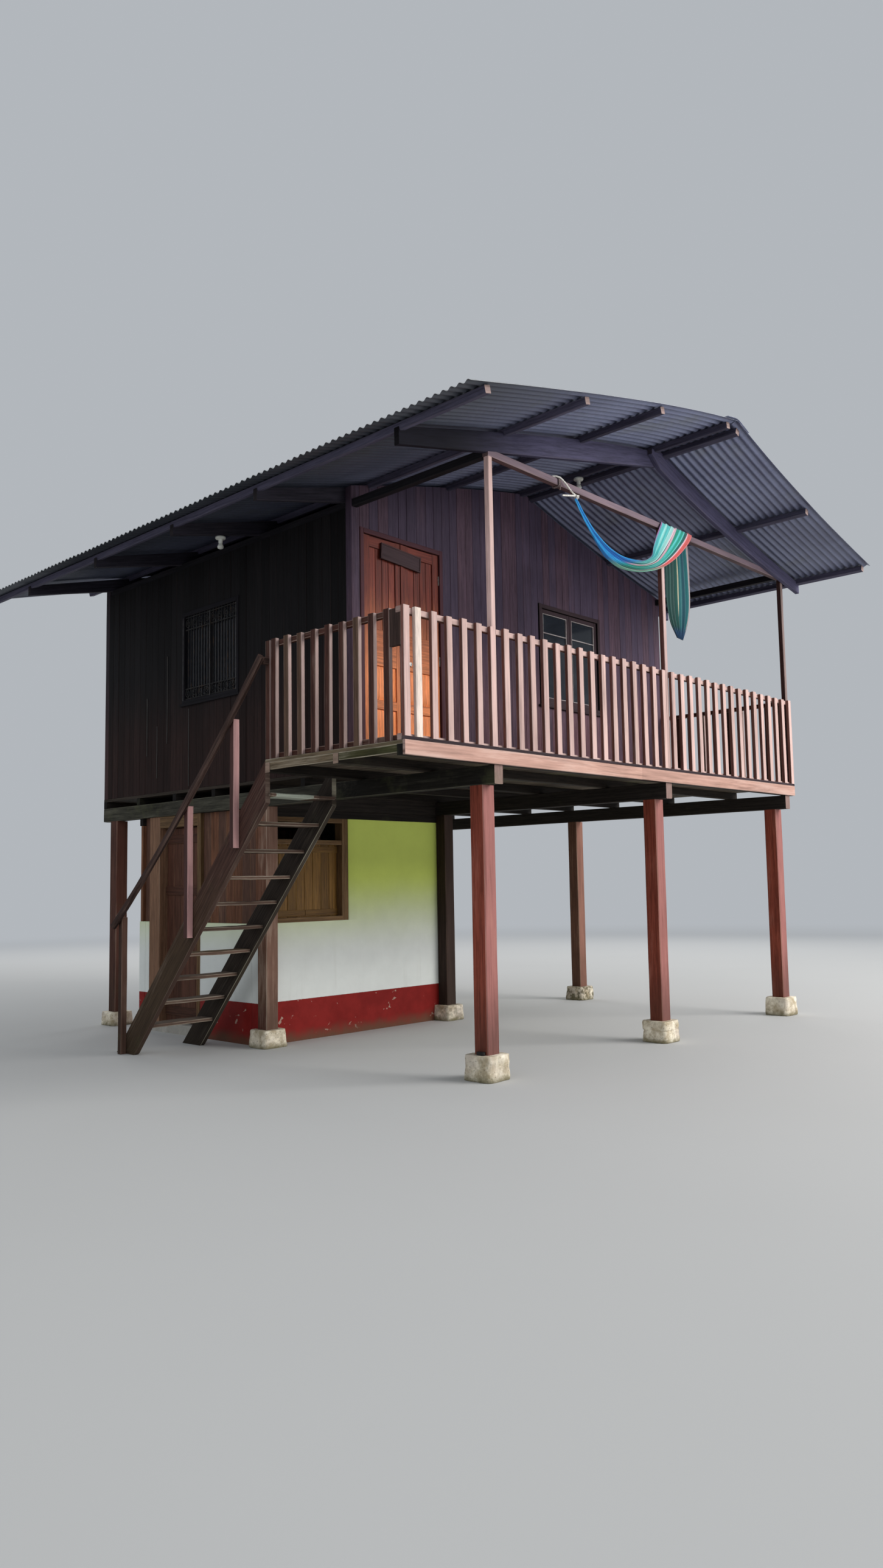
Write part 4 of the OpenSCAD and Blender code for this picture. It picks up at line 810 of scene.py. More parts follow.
def stone(middle, side, low, high, seed, tone, lump=stones["lump"], taper=stones["taper"]):
    # A rough block: round it runs a squared circle of power 7, up it the sides round off at foot and top,
    # and ripples of two sizes push the surface in and out
    n, crown = 48, 8  # points round it, and the ring that its top begins with
    a = np.linspace(0, 2 * np.pi, n + 1)[:-1]
    r = (np.abs(np.cos(a)) ** 7 + np.abs(np.sin(a)) ** 7) ** (-1 / 7)
    s = np.array([0, 0.02, 0.12, 0.3, 0.5, 0.7, 0.88, 0.97, 1, 1, 1, 1])
    size = np.array([0.95, 0.985, 1, 1, 1, 1, 0.995, 0.975, 0.95, 0.7, 0.35, 0.04]) * (1 + (taper - 1) * s)
    outline = np.stack([side / 2 * r * np.cos(a), side / 2 * r * np.sin(a)], -1)
    path = np.stack([0 * s + middle[0], 0 * s + middle[1], low + (high - low) * s], -1)
    part = sweep(path, (1, 0, 0), (0, 1, 0), (outline, np.tile([0, 0, 0.05], (n, 1))), tone, scale=size)
    co = part["co"].reshape(len(s), n, 3)
    out = unit(np.stack([np.cos(a), np.sin(a), 0 * a], -1))
    push = (ripple(co, 260, seed) * 0.6 + ripple(co, 70, seed + 1) * 0.4) * lump
    fade = np.clip(size / 0.9, 0, 1)[:, None] ** 3
    co = co + out[None] * np.minimum(push, 5)[..., None] * fade[..., None]
    hollows = np.abs(ripple(co[crown:], 90, seed + 2)) * (size[crown:, None] > 0.6)
    co[crown:, :, 2] -= 3 + 2 * hollows
    part["co"] = co.reshape(-1, 3)
    return part


parts = []
for i, y in enumerate(house["rows"]):
    for j, x in enumerate(house["columns"]):
        seed, middle = stones["seed"] + 7 * i + 3 * j, (x + post / 2, y + post / 2)
        tall, tone = stones["heights"][i], stones["tones"][i][j]
        if (i, j) == (0, 1):  # this one is two stones, a thinner one on a deeper one
            parts.append(stone(middle, 282, 0, 118, seed, 0.05))
            parts.append(stone(middle, 268, 112, tall, seed + 50, 0.1, 8, 1))
        else:
            parts.append(stone(middle, stones["side"], 0, tall, seed, tone))
build("footing_stones", parts, "stone", ["footings"], smooth=60)

posts = {
    "chamfer": 7, "sunk": 6, "wedge": ((-34, 22, 92), (4, 96, 222)), "seed": 31,
    "finish": (("redPost",) * 3, ("flakedPost", "darkPost", "plainPost"), ("brownPost",) * 3),  # by row
    "names": {"redPost": "ground_post_timbers", "brownPost": "ground_post_back_timbers",
              "plainPost": "ground_post_plain_timber", "flakedPost": "ground_post_flaked_timber",
              "darkPost": "ground_post_dark_timber"},
}
groups = {finish: [] for finish in posts["names"]}
dice = np.random.default_rng(posts["seed"])
for i, y in enumerate(house["rows"]):
    for j, x in enumerate(house["columns"]):
        low, high = (x, y, stones["heights"][i] - posts["sunk"]), (x + post, y + post, girderFoot)
        groups[posts["finish"][i][j]].append(
            bar(dice, low, high, cut=posts["chamfer"], split=4, step=190, bend=1.6, rough=0.5))
for finish, name in posts["names"].items():
    build(name, groups[finish], finish, ["ground_posts"] if finish == "redPost" else ())
wedge = bar(dice, *posts["wedge"], cut=9, split=2, step=40, rough=1.2)
build("post_foot_wedge", [wedge], "iron")

floorFrame = {
    "girderWide": 100, "joists": (-125, 565, 1400), "joistWide": 60, "inner": 6, "tones": (0.2, 0.65), "seed": 41,
}
dice = np.random.default_rng(floorFrame["seed"])
parts = [bar(dice, (x, boardBack, girderFoot), (x + floorFrame["girderWide"], houseBack, girderTop),
             cut=5, split=2, step=420, bend=2, rough=0.6) for x in house["columns"]]
build("floor_girder_timbers", parts[1:], "girderWood", ["floor_girders"])
f, u, b = parts[0]["faces"][0]  # the left girder's front part is darker
b[..., 2] = np.where(parts[0]["co"][f][..., 1] < wallFace, *floorFrame["tones"])
build("floor_left_girder_timber", parts[:1], "outerFrame")
joist = {"cut": 4, "step": 500, "bend": 2, "rough": 0.6}
parts = [bar(dice, (deckLeft, y, girderTop), (deckRight, y + floorFrame["joistWide"], joistTop), **joist)
         for y in floorFrame["joists"]]
build("balcony_first_joist_timber", parts[:1], "frameWood")
build("balcony_joist_timbers", parts[1:], "balconyFrame")
parts = []
for y in np.linspace(deckBack, houseBack - floorFrame["joistWide"], floorFrame["inner"] + 1)[1:]:
    parts.append(bar(dice, (0, y, girderTop), (houseWide, y + floorFrame["joistWide"], joistTop), **joist))
build("floor_joist_timbers", parts, "frameWood", ["floor_joists"])

fascia = {"joint": 2060, "gap": 1, "tones": (0.95, 0.6), "seed": 47}
dice = np.random.default_rng(fascia["seed"])
spans = ((deckLeft, fascia["joint"] - fascia["gap"], 0), (fascia["joint"] + fascia["gap"], deckRight, 1))
parts = [bar(dice, (a, deckFront, girderTop + lift), (b, boardBack, floorTop), cut=4, step=300, bend=1.2,
             rough=0.5, tone=tone) for (a, b, lift), tone in zip(spans, fascia["tones"])]
build("deck_front_board", parts, "fasciaPaint", ["deck_fascia"])

decking = {"width": 140, "gap": 4, "innerGap": 2, "rims": ((-64, 564, 0.95), (626, 1399, 0.3)), "seed": 53}


def floorBoards(dice, x0, x1, y0, y1, gap):
    # Boards side by side across x, each with its own tone, length error and a hair of height
    n = round((x1 - x0) / decking["width"])
    edges = x0 + (x1 - x0) * np.arange(n + 1) / n
    made = []
    for a, b in zip(edges[:-1], edges[1:]):
        lift = dice.uniform(-1.2, 0)
        low, high = (a + gap / 2, y0 + dice.uniform(0, 5), joistTop + lift), (b - gap / 2, y1, floorTop + lift)
        made.append(bar(dice, low, high, axis=1, cut=2.5, step=900, bend=0.5, rough=0.3))
    return made


dice = np.random.default_rng(decking["seed"])
parts = floorBoards(dice, deckLeft, deckRight, boardBack, deckBack, decking["gap"])
build("balcony_floor_boards", parts[1:], "deckBoards", ["balcony_deck"])
# The edge board is mossy, and two rim boards close the gaps between the joists' ends under it
rims = [bar(dice, (deckLeft + 2, a, 2452), (deckLeft + 22, b, 2510.5), cut=3, split=2, step=120, bend=1.5,
            rough=0.8, tone=tone) for a, b, tone in decking["rims"]]
build("balcony_edge_boards", parts[:1] + rims, "edgeBoards")
parts = floorBoards(dice, 0, houseWide, deckBack, houseBack, decking["innerGap"])
build("room_floor_boards", parts, "innerBoards", ["upper_floor"])

walls = {
    "board": 118, "groove": 4.5, "jog": 2.5, "seed": 61,
    "door": (100, 1190, 2540, 4750), "window": (2700, 3830, 3405, 4515), "side": (3190, 4190, 3440, 4430),
    # bare seams between the left wall's boards: the place along it, the foot and the top
    "seams": ((4880, 2960, 3600), (4678, 2700, 3270), (4482, 3060, 4010), (4070, 2570, 3390)),
}
print("walls")


def boardWall(dice, axis, face, back, start, end, top, holes=()):
    # Upright boards side by side, as thick as the wall, cut round the openings. A board that reaches the
    # top follows it: its height is shared out along its length, so a gable's boards end on the slope
    cuts = sorted({start, end, *[v for hole in holes for v in hole[:2]]})
    side, depth = np.eye(3)[axis], np.eye(3)[1 - axis]
    made = []
    for a, b in zip(cuts[:-1], cuts[1:]):
        n = max(1, round((b - a) / walls["board"]))
        wide = dice.uniform(0.85, 1.15, n)
        edges = a + (b - a) * np.concatenate([[0], np.cumsum(wide) / wide.sum()])
        spans = [(floorTop, None)]
        for x0, x1, z0, z1 in holes:
            if x0 <= a and x1 >= b:
                spans = [(floorTop, z0), (z1, None)] if z0 > floorTop else [(z1, None)]
        for p, q in zip(edges[:-1], edges[1:]):
            shift, tone = dice.uniform(-walls["jog"], walls["jog"]), dice.uniform(0, 1)
            outline = plank(q - p - 0.6, abs(back - face), walls["groove"])
            for z0, z1 in spans:
                high = top(np.array((p + q) / 2)).item() if z1 is None else z1
                s = np.linspace(0, 1, max(2, int((high - z0) / 600) + 2))
                path = np.stack([0 * s + (p + q) / 2, 0 * s + (face + back) / 2 + shift, z0 + (high - z0) * s], -1)
                path = path if axis == 0 else path[:, [1, 0, 2]]
                part = sweep(path, side, depth, outline, tone, dice.uniform(0, 9, 2), rough=0.4, dice=dice)
                if z1 is None:
                    share = (part["co"][:, 2] - z0) / (high - z0)
                    part["co"][:, 2] = z0 + share * (top(part["co"][:, axis]) - z0)
                made.append(part)
    return made


def gable(x):
    # The end walls' tops, 2 mm under the line that the purlins are let in to
    return underRoof(x) - roof["letIn"] - 2


def flatTop(y):
    return np.asarray(y) * 0 + plateFoot


dice = np.random.default_rng(walls["seed"])
thick = house["wall"]
for name, finish, *sizes in (
        ("front", "wallBoards", 0, wallFace, wallBack, 0, houseWide, gable, (walls["door"], walls["window"])),
        ("back", "backBoards", 0, houseBack - thick, houseBack, 0, houseWide, gable),
        ("left", "sideBoards", 1, 0, thick, wallBack, houseBack - thick, flatTop, (walls["side"],)),
        ("right", "sideBoards", 1, houseWide - thick, houseWide, wallBack, houseBack - thick, flatTop)):
    build(name + "_wall_boards", boardWall(dice, *sizes), finish, [name + "_wall"])
parts = [bar(dice, (-4, y - 4.5, z0), (2, y + 4.5, z1), cut=1.5, step=120, bend=1, rough=0.6, tone=2.0)
         for y, z0, z1 in walls["seams"]]
build("left_wall_seams", parts, "sideBoards")
parts = [bar(dice, (x, roof["tieBack"] + 0.5, plateFoot), (x + 60, houseBack, plateFoot + 70), cut=4, step=500)
         for x in (10, houseWide - 70)]
build("wall_plate_timbers", parts, "plateWood", ["wall_plates"])


def framing(dice, x0, x1, z0, z1, w, y0, y1, foot=True, **more):
    # Two uprights over the whole height with a head, and a foot where asked, between them
    made = [bar(dice, (x0, y0, z0), (x0 + w, y1, z1), **more), bar(dice, (x1 - w, y0, z0), (x1, y1, z1), **more),
            bar(dice, (x0 + w, y0 + 1, z1 - w), (x1 - w, y1 - 1, z1), **more)]
    return made + ([bar(dice, (x0 + w, y0 + 1, z0), (x1 - w, y1 - 1, z0 + w), **more)] if foot else [])


def raised(x0, x1, z0, z1, y, back, rise=9.0, slope=34.0):
    # A fielded panel: its face rises from the rim by the smaller of 1 and the distance to the rim over slope
    s = slope * np.array([0, 0.35, 0.7, 1.0])
    gx = np.concatenate([x0 + s, np.linspace(x0 + slope, x1 - slope, 5)[1:-1], x1 - s[::-1]])
    gz = np.concatenate([z0 + s, np.linspace(z0 + slope, z1 - slope, 6)[1:-1], z1 - s[::-1]])
    x, z = np.meshgrid(gx, gz, indexing="ij")
    rim = np.minimum(np.minimum(x - x0, x1 - x), np.minimum(z - z0, z1 - z)) / slope
    front = np.stack([x, y - rise * np.clip(rim, 0, 1), z], -1)
    return shell(front, np.stack([x, 0 * x + back, z], -1))


upperDoor = {
    "left": 145, "face": 1515, "leaf": 500, "tall": 2165, "thick": 40, "stile": 85, "boards": 4, "seed": 71,
    # the rails as shares of the height, and the openings between them, two for panels and one for boards
    "rails": ((0.004, 0.05), (0.26, 0.30), (0.445, 0.6), (0.95, 0.998)), "panels": ((0.05, 0.26), (0.30, 0.445)),
    "boarded": (0.6, 0.95), "frame": 45, "frameFace": 1492,
    "strip": ((622, 1507, 2552), (662, 1516, 4700)),  # over the leaves' joint
    "hingeX": (148, 1142), "hingeZ": (2800, 3650, 4450), "hinge": ((0.5, -46), (7, -45), (7, 45), (0.5, 46)),
    "knobAt": (700, 1515, 3560),
    "knob": ((0.2, -52), (19, -50), (24, -40), (19, -28), (9, -22), (9, -6), (24, -5), (24, 1)),
}
print("doors and windows")
sawn = {"cut": 4, "step": 300}  # what the frames' and rails' timbers share
dice = np.random.default_rng(upperDoor["seed"])
parts, (w, h, t, stile) = [], (upperDoor[k] for k in ("leaf", "tall", "thick", "stile"))
y0, z0 = upperDoor["face"], floorTop
for x0 in (upperDoor["left"], upperDoor["left"] + w):
    a, b = x0 + stile, x0 + w - stile  # between the stiles
    for x in (x0 + 1.5, b - 1.5):
        parts.append(bar(dice, (x, y0, z0 + 8), (x + stile, y0 + t, z0 + h - 4), cut=3, step=300, rough=0.3,
                         tone=dice.uniform(0.3, 0.6)))
    for low, high in upperDoor["rails"]:
        parts.append(bar(dice, (a, y0 + 1, z0 + low * h), (b, y0 + t - 1, z0 + high * h), axis=0, cut=3, step=200,
                         rough=0.3, tone=dice.uniform(0.3, 0.7)))
    for low, high in upperDoor["panels"]:
        panel = raised(a - 1, b + 1, z0 + low * h, z0 + high * h, y0 + 14, y0 + t - 6)
        panel["faces"] = [(f, u[..., ::-1], b3 * [1, 1, 0] + [0, 0.03, 0.95]) for f, u, b3 in panel["faces"]]
        parts.append(panel)
    (low, high), q = upperDoor["boarded"], (b - a) / upperDoor["boards"]
    for k in range(upperDoor["boards"]):
        parts.append(bar(dice, (a + k * q + 0.5, y0 + 11, z0 + low * h),
                         (a + (k + 1) * q - 0.5, y0 + t - 4, z0 + high * h), axis=2, cut=4, step=300, rough=0.3))
parts.append(bar(dice, *upperDoor["strip"], cut=3, step=300, tone=0.35))
build("upper_door_leaves", parts, "doorWood", ["front_door"])
parts = [lathe(upperDoor["knobAt"], upperDoor["knob"], 1, 18)]
for x in upperDoor["hingeX"]:
    parts += [lathe((x, y0 - 3, z), upperDoor["hinge"], 2, 10) for z in upperDoor["hingeZ"]]
build("upper_door_metal", parts, "hinge")
x0, x1, z0, z1 = walls["door"]
w, y0 = upperDoor["frame"], upperDoor["frameFace"]
parts = framing(dice, x0, x1, z0, z1, w, y0, wallBack, foot=False, tone=0.5, **sawn)
build("upper_door_frame", parts, "frameRed", ["front_door_frame"])

sign = {"length": 520, "height": 150, "border": 14, "tip": 4, "place": (356.5, 1495, 4510)}
w, h = sign["length"], sign["height"]
parts = [bar(dice, (4, 2, 4), (w - 4, 17, h - 4), cut=2, step=200, tone=0.25)]
parts += framing(dice, 0, w, 0, h, sign["border"], -6, 18, cut=3, step=200, tone=0.1)
parts = turned(parts, math.radians(sign["tip"]), sign["place"], False)
build("blank_door_board", parts, "signWood", ["door_sign"])

frontWindow = {
    "frame": 45, "face": 1484, "sill": (1470, 1512), "casement": (1508, 1545), "glass": (1526, 1530),
    "beads": (1512, 1526), "bead": 11, "barAt": 800, "seed": 79,
}
dice = np.random.default_rng(frontWindow["seed"])
(x0, x1, z0, z1), w, bead = walls["window"], frontWindow["frame"], frontWindow["bead"]
(s0, s1), (g0, g1), (b0, b1) = (frontWindow[k] for k in ("sill", "glass", "beads"))
parts = framing(dice, x0, x1, z0, z1, w, frontWindow["face"], wallBack, tone=0.4, **sawn)
parts.append(bar(dice, (x0 - 25, s0, z0 - 22), (x1 + 25, s1, z0 + 4), tone=0.3, **sawn))
panes, beads, half = [], [], (x1 - x0 - 2 * w) / 2
for i in (0, 1):
    a, b = x0 + w + i * half + 1, x0 + w + (i + 1) * half - 1
    parts += framing(dice, a, b, z0 + w + 2, z1 - w - 2, w, *frontWindow["casement"], tone=0.55, **sawn)
    low, high = (a + w - 6, g0, z0 + 2 * w - 6), (b - w + 6, g1, z1 - 2 * w + 6)
    panes.append(bar(dice, low, high, axis=2, cut=0.5, rough=0, bend=0, tone=0.5))
    beads += framing(dice, a + w - 2, b - w + 2, z0 + 2 * w - 2, z1 - 2 * w + 2, bead, b0, b1,
                     cut=2, step=300, rough=0.3)
    z = z0 + frontWindow["barAt"]
    beads.append(bar(dice, (a + w, b0 + 2, z), (b - w, b1 - 1, z + bead), cut=2, step=200))
build("front_window_frame", parts, "windowDark", ["front_window"])
build("front_window_beads", beads, "bead")
build("front_window_glass", panes, "glass")

sideWindow = {
    "frame": 45, "bars": range(95, 940, 50), "rungs": (50, 158, 792, 924), "scrolls": 8, "radius": 47,
    "strips": (22, 505, 962), "seed": 83,
    # from where to where each kind of piece reaches through the wall, whose face is at 0
    "depth": {"frame": (-12, 80), "sill": (-26, 10), "post": (14, 44), "bars": (3, 13), "rungs": (5, 16),
              "strips": (-15, -9), "glass": (31, 35)},
}


def sidePiece(dice, kind, x0, x1, z0, z1, **more):
    # A bar of the side window, as seen from outside it, in the depth of its kind
    out, back = sideWindow["depth"][kind]
    return bar(dice, (x0, out, z0), (x1, back, z1), **more)


dice = np.random.default_rng(sideWindow["seed"])
y0, y1, z0, z1 = walls["side"]
wide, place = y1 - y0, (math.radians(-90), (0, y1, 0))
parts = framing(dice, 0, wide, z0, z1, sideWindow["frame"], *sideWindow["depth"]["frame"], tone=0.4, **sawn)
parts.append(sidePiece(dice, "sill", -22, wide + 22, z0 - 20, z0 + 6, tone=0.3, **sawn))
parts.append(sidePiece(dice, "post", wide / 2 - 16, wide / 2 + 16, z0 + 45, z1 - 45, cut=3, step=300, tone=0.5))
build("side_window_frame", turned(parts, *place), "sideFrame", ["left_window"])
thin = {"cut": 1.5, "bend": 0.5, "rough": 0.2, "step": 400}
grille = [sidePiece(dice, "bars", x, x + 9, z0 + 40, z1 - 40, **thin) for x in sideWindow["bars"]]
grille += [sidePiece(dice, "rungs", 42, wide - 42, z0 + z, z0 + z + 12, **thin) for z in sideWindow["rungs"]]
s = np.linspace(0, 1, 26)
for k in range(sideWindow["scrolls"]):
    # A scroll: the radius shrinks to 0.22 of itself while the angle goes round 1.6 times
    x = 45 + (k + 0.5) * (wide - 90) / sideWindow["scrolls"]
    turn, r = (-1) ** k * (0.5 * np.pi + s * 3.2 * np.pi), sideWindow["radius"] * (1 - 0.78 * s)
    for z in (z0 + 110, z1 - 132):
        path = np.stack([x + r * np.cos(turn), 0 * s + 2, z + r * np.sin(turn)], -1)
        grille.append(tube(path, 4.2, 6, (0, 1, 0)))
build("side_window_grille", turned(grille, *place), "iron")
parts = [sidePiece(dice, "strips", x, x + 10, z0 + 40, z1 - 60, cut=1.5, step=160, bend=0.6, rough=0.6, tone=0.3)
         for x in sideWindow["strips"]]
build("side_window_strips", turned(parts, *place), "dimBead")
pane = sidePiece(dice, "glass", 40, wide - 40, z0 + 40, z1 - 40, axis=2, cut=0.5, rough=0, bend=0)
build("side_window_glass", turned([pane], *place), "sideGlass")

rails = {
    "high": 970, "rail": 45, "picket": 65, "thick": 35, "back": 80, "post": 45, "seed": 97,
    "sole": ((deckLeft, -149, floorTop), (deckRight, -116, floorTop + 24.5)),
    "corner": ((deckLeft + 1, -114.5, 3226), (deckLeft + 34, -0.5, 3500)),
    "front": (deckRight - deckLeft, 123, 36, 0, (35,), 1),
    "sides": (("left", (1530, 75, 8, 70, (0,)), -90, (deckLeft, deckBack, floorTop)),
              ("right", (1565, 166, 8), 90, (deckRight, -65, floorTop))),
}
slim = {"side": 50, "x": (15, 2577.5, 5140), "y": -115, "seed": 101}
print("railings")


def railing(dice, long, first, gaps, spare=0, posts=(), pale=None, cuts=(), foot=0):
    # One end picket, the next one after the first gap, then equal gaps to the end; rails and posts behind,
    # the rails in lengths between the cuts
    made, picket, thick, high = [], rails["picket"], rails["thick"], rails["high"]
    lefts = [0.0, *np.linspace(first, long - picket - spare, gaps + 1)]
    for k, x in enumerate(lefts):
        tip, lean = dice.uniform(-6, 9), dice.uniform(-4, 4) * (0 < k < len(lefts) - 1)
        w = picket + dice.uniform(-7, -1)
        tone = 2.0 if k == pale else dice.uniform(0, 1)
        start, end = (x + picket / 2, thick / 2, foot), (x + picket / 2 + lean, thick / 2, high + tip)
        made.append(timber(dice, start, end, (1, 0, 0), (0, 1, 0), w, thick - 1, cut=3, step=420, bend=1.5,
                           rough=0.5, tone=tone))
    marks = [0, *cuts] if len(cuts) % 2 else [0, *cuts, long]
    for z in (0, high - rails["rail"]):
        for a, b in zip(marks[::2], marks[1::2]):
            made.append(bar(dice, (a, thick + 0.5, z), (b, rails["back"], z + rails["rail"]), bend=1.2, rough=0.5,
                            tone=0.55, **sawn))
    for x in posts:
        made.append(bar(dice, (x, thick + 1, 0), (x + rails["post"], rails["back"], high - 2), cut=3, step=400,
                        tone=0.4))
    return made


dice = np.random.default_rng(rails["seed"])
cuts = [x - deckLeft + d for x in slim["x"] for d in (0, slim["side"])][:-1]
front = turned(railing(dice, *rails["front"], cuts, 25), 0, (deckLeft, deckFront, floorTop))
build("front_railing_pickets", front, "palePaint", ["front_railing"])
sole = bar(dice, *rails["sole"], cut=4, step=200, bend=1, rough=0.6, tone=0.5)
build("front_railing_sole", [sole], "solePaint")
board = bar(dice, *rails["corner"], axis=2, cut=4, step=120, bend=1, rough=0.6, tone=0.3)
build("corner_board", [board], "poleWood")
for name, sizes, angle, place in rails["sides"]:
    parts = turned(railing(dice, *sizes), math.radians(angle), place)
    build(name + "_railing_pickets", parts, "sidePaint", [name + "_railing"])

dice = np.random.default_rng(slim["seed"])
y, side = slim["y"], slim["side"]
parts = [bar(dice, (x, y, floorTop), (x + side, y + side, plateFoot), cut=4, split=2, step=260, bend=2.5,
             rough=0.5, tone=0.4) for x in slim["x"]]
build("slim_post_timber", parts[1:2], "slimPaint", ["balcony_posts"])
build("slim_post_dim_timber", parts[2:], "dimPost")
build("slim_post_pale_timber", parts[:1], "palePost")
tie = bar(dice, (10, roof["tieFront"], plateFoot), (5190, roof["tieBack"], plateFoot + 60), cut=5, split=2,
          step=300, bend=3, rough=0.5, tone=0.4)
build("tie_beam_timber", [tie], "tiePaint", ["tie_beam"])

roofFrame = {
    "wide": 50, "deep": 120, "frontDeep": 150, "lapDeep": 190, "lapStart": 50, "lap": 150, "seed": 107,
    "cover": 10, "capWing": 200,
    "capLengths": ((roof["front"], 1600, 0), (1540, 4150, 1.4), (4090, roof["back"], 0)),
    "slopes": ((-1, "left", roof["purlinsLeft"], roof["pitchLeft"], 3718),
               (1, "right", roof["purlinsRight"], roof["pitchRight"], 2975)),
    "screw": ((9, -1.5), (9.5, 1.2), (5, 2.2), (5, 5.6), (1, 6.2)),
}
print("roof")
dice = np.random.default_rng(roofFrame["seed"])
wide, deep, letIn, ridge = roofFrame["wide"], roofFrame["deep"], roof["letIn"], roof["ridge"]


def rafter(dice, x, y, under, wide=wide, tone=None):
    # A plumb-cut rafter: an upright outline at every x, stretched from the line under it to the purlins'
    # line, which is the sheets' underside less the depth the purlins are let in
    top = underRoof(x) - letIn
    path = np.stack([x, 0 * x + y + wide / 2 + dice.uniform(-1, 1), (top + under) / 2], -1)
    tone = dice.uniform(0, 1) if tone is None else tone
    outline = plank(wide, deep, 4)
    part = sweep(path, (0, 1, 0), (0, 0, 1), outline, tone, dice.uniform(0, 9, 2), rough=0.5, dice=dice)
    co = part["co"].reshape(len(x), -1, 3)
    middle = ((top + under) / 2)[:, None]
    co[..., 2] = middle + (co[..., 2] - middle) * ((top - under) / deep)[:, None]
    part["co"] = co.reshape(-1, 3)
    return part


x = np.linspace(-988, ridge, 22)
part = rafter(dice, x, roof["tieFront"] + 0.5, straightRoof(x) - letIn - roofFrame["frontDeep"], wide - 1)
build("left_front_rafter_timber", [part], "frontRafter")
parts = [rafter(dice, x, y, straightRoof(x) - letIn - deep) for y in roof["trusses"]]
build("left_rafter_timbers", parts, "eaveWood", ["left_rafters"])
x = np.linspace(ridge, 5505, 18)
parts = [rafter(dice, x, y, underRoof(x) - letIn - deep) for y in roof["trusses"]]
# The front plank laps over the left rafter's face and is deepest at the ridge
x = np.concatenate([ridge - roofFrame["lap"] + np.array([0, 50, 100]), x])
depth = np.interp(x, (2390, 2540, 5505), (roofFrame["lapStart"], roofFrame["lapDeep"], deep))
parts.append(rafter(dice, x, roof["tieFront"] - wide, underRoof(x) - letIn - depth, wide - 1, 0.7))
build("right_rafter_timbers", parts, "rafterWood", ["right_rafters"])
parts = []
for side, _, offsets, pitch, _ in roofFrame["slopes"]:
    for d in offsets:
        x = ridge + side * d
        lean = unit(np.array([1.0, 0, float(underRoof(x + 20) - underRoof(x - 20)) / 40]))
        z = underRoof(x).item() - 30 / math.cos(pitch)
        start, end = (x, -954 + dice.uniform(0, 25), z), (x, 6593 - dice.uniform(0, 30), z)
        parts.append(timber(dice, start, end, lean, np.cross((0, -1, 0), lean), roof["purlin"] - 2,
                            roof["purlin"] - 2, cut=4, step=500, bend=2.5, rough=0.6))
build("purlin_timbers", parts, "purlinWood", ["purlins"])


def roofSheet(dice, side, pitch, slope, y0, y1, lift):
    # Across the sheet the height is half the wave's times 1 - cos of the place along the eave; down the
    # slope it sags a little between purlins, and its two ends wander
    y = np.linspace(y0, y1, int(round((y1 - y0) / roof["wave"] * 10)) + 1)
    s = np.concatenate([[0, 0.02, 0.06], np.linspace(0.12, 1, 14)])
    yy, ss = np.meshgrid(y, s, indexing="ij")
    run = 4 + ss * (slope - 4 - dice.uniform(1, 7))
    wave = roof["waveHeight"] / 2 * (1 - np.cos(2 * np.pi * (yy - roof["front"]) / roof["step"]))
    soft = ripple(np.stack([run, yy, 0 * yy], -1), 900, int(y0) + 5000) * 1.2 + lift
    made, x = [], ridge + side * run * math.cos(pitch)
    for thick in (1.0, 0.0):
        h = wave + soft + thick
        made.append(np.stack([x + side * h * math.sin(pitch), yy, underRoof(x) + h * math.cos(pitch)], -1))
    return shell(made[0], made[1], dice.uniform(0, 1), (0, 1, 0.5))


waves, step, cover = roof["waves"], roof["step"], roofFrame["cover"]
for side, name, _, pitch, reach in roofFrame["slopes"]:
    parts = []
    for k, first in enumerate(range(0, waves, cover)):  # each sheet covers ten waves and laps one
        y0, y1 = (roof["front"] + n * step for n in (first, min(first + cover + 1, waves)))
        parts.append(roofSheet(dice, side, pitch, reach / math.cos(pitch), y0, y1, 1.3 * (k % 2)))
    build(name + "_corrugated_sheets", parts, "steel", [name + "_roof_sheets"], smooth=50)

parts = []
for a, b, lift in roofFrame["capLengths"]:
    # The cap bends over the ridge: a bell of 6 mm is taken off along its middle, and its wings' rims droop
    ss, yy = np.meshgrid(np.linspace(-1, 1, 15), np.linspace(a, b, 14), indexing="ij")
    x = ridge + roofFrame["capWing"] * ss
    droop = np.abs(ss) ** 6 * (1 + ripple(np.stack([x, yy, 0 * x], -1), 300, 9))
    z = underRoof(x) + 21.6 - 6 * np.exp(-(ss * 7) ** 2) + lift - droop
    parts.append(shell(np.stack([x, yy, z + 1.2], -1), np.stack([x, yy, z], -1), 0.6, (0, 1, 0.5)))
build("ridge_cap_sheet", parts, "steel", ["ridge_cap"], smooth=50)

screws = []
for side, _, offsets, pitch, _ in roofFrame["slopes"]:
    for d in offsets[1:]:
        x = ridge + side * d
        z = underRoof(x).item() + 19.5 / math.cos(pitch)
        screws += [lathe((x + side * 5, roof["front"] + (k + 0.5) * step, z), roofFrame["screw"], 2, 7)
                   for k in range(1, waves, 3)]
build("roof_screws", screws, "screws")

stair = {
    "rise": 221, "run": 197, "first": 285, "treads": 10, "top": 2360, "halfDeep": 172.8, "thick": 48,
    "stringers": (-973, -263), "newels": (3542.6, 2474.0, 1805.0), "newelX": (-1058, -999), "seed": 113,
    "tread": (198, 30), "treadLong": 690, "over": 943, "swing": 300, "reach": 2103.7,
    "pole": (50, 64), "poleX": -1081, "poleEnds": (1400, 3662),
}
print("stair")
dice = np.random.default_rng(stair["seed"])
fall = stair["rise"] / stair["run"]


def stringerMid(y):
    # The stringers' middle line, which falls by the rise for every run
    return stair["top"] - (y - deckBack) * fall


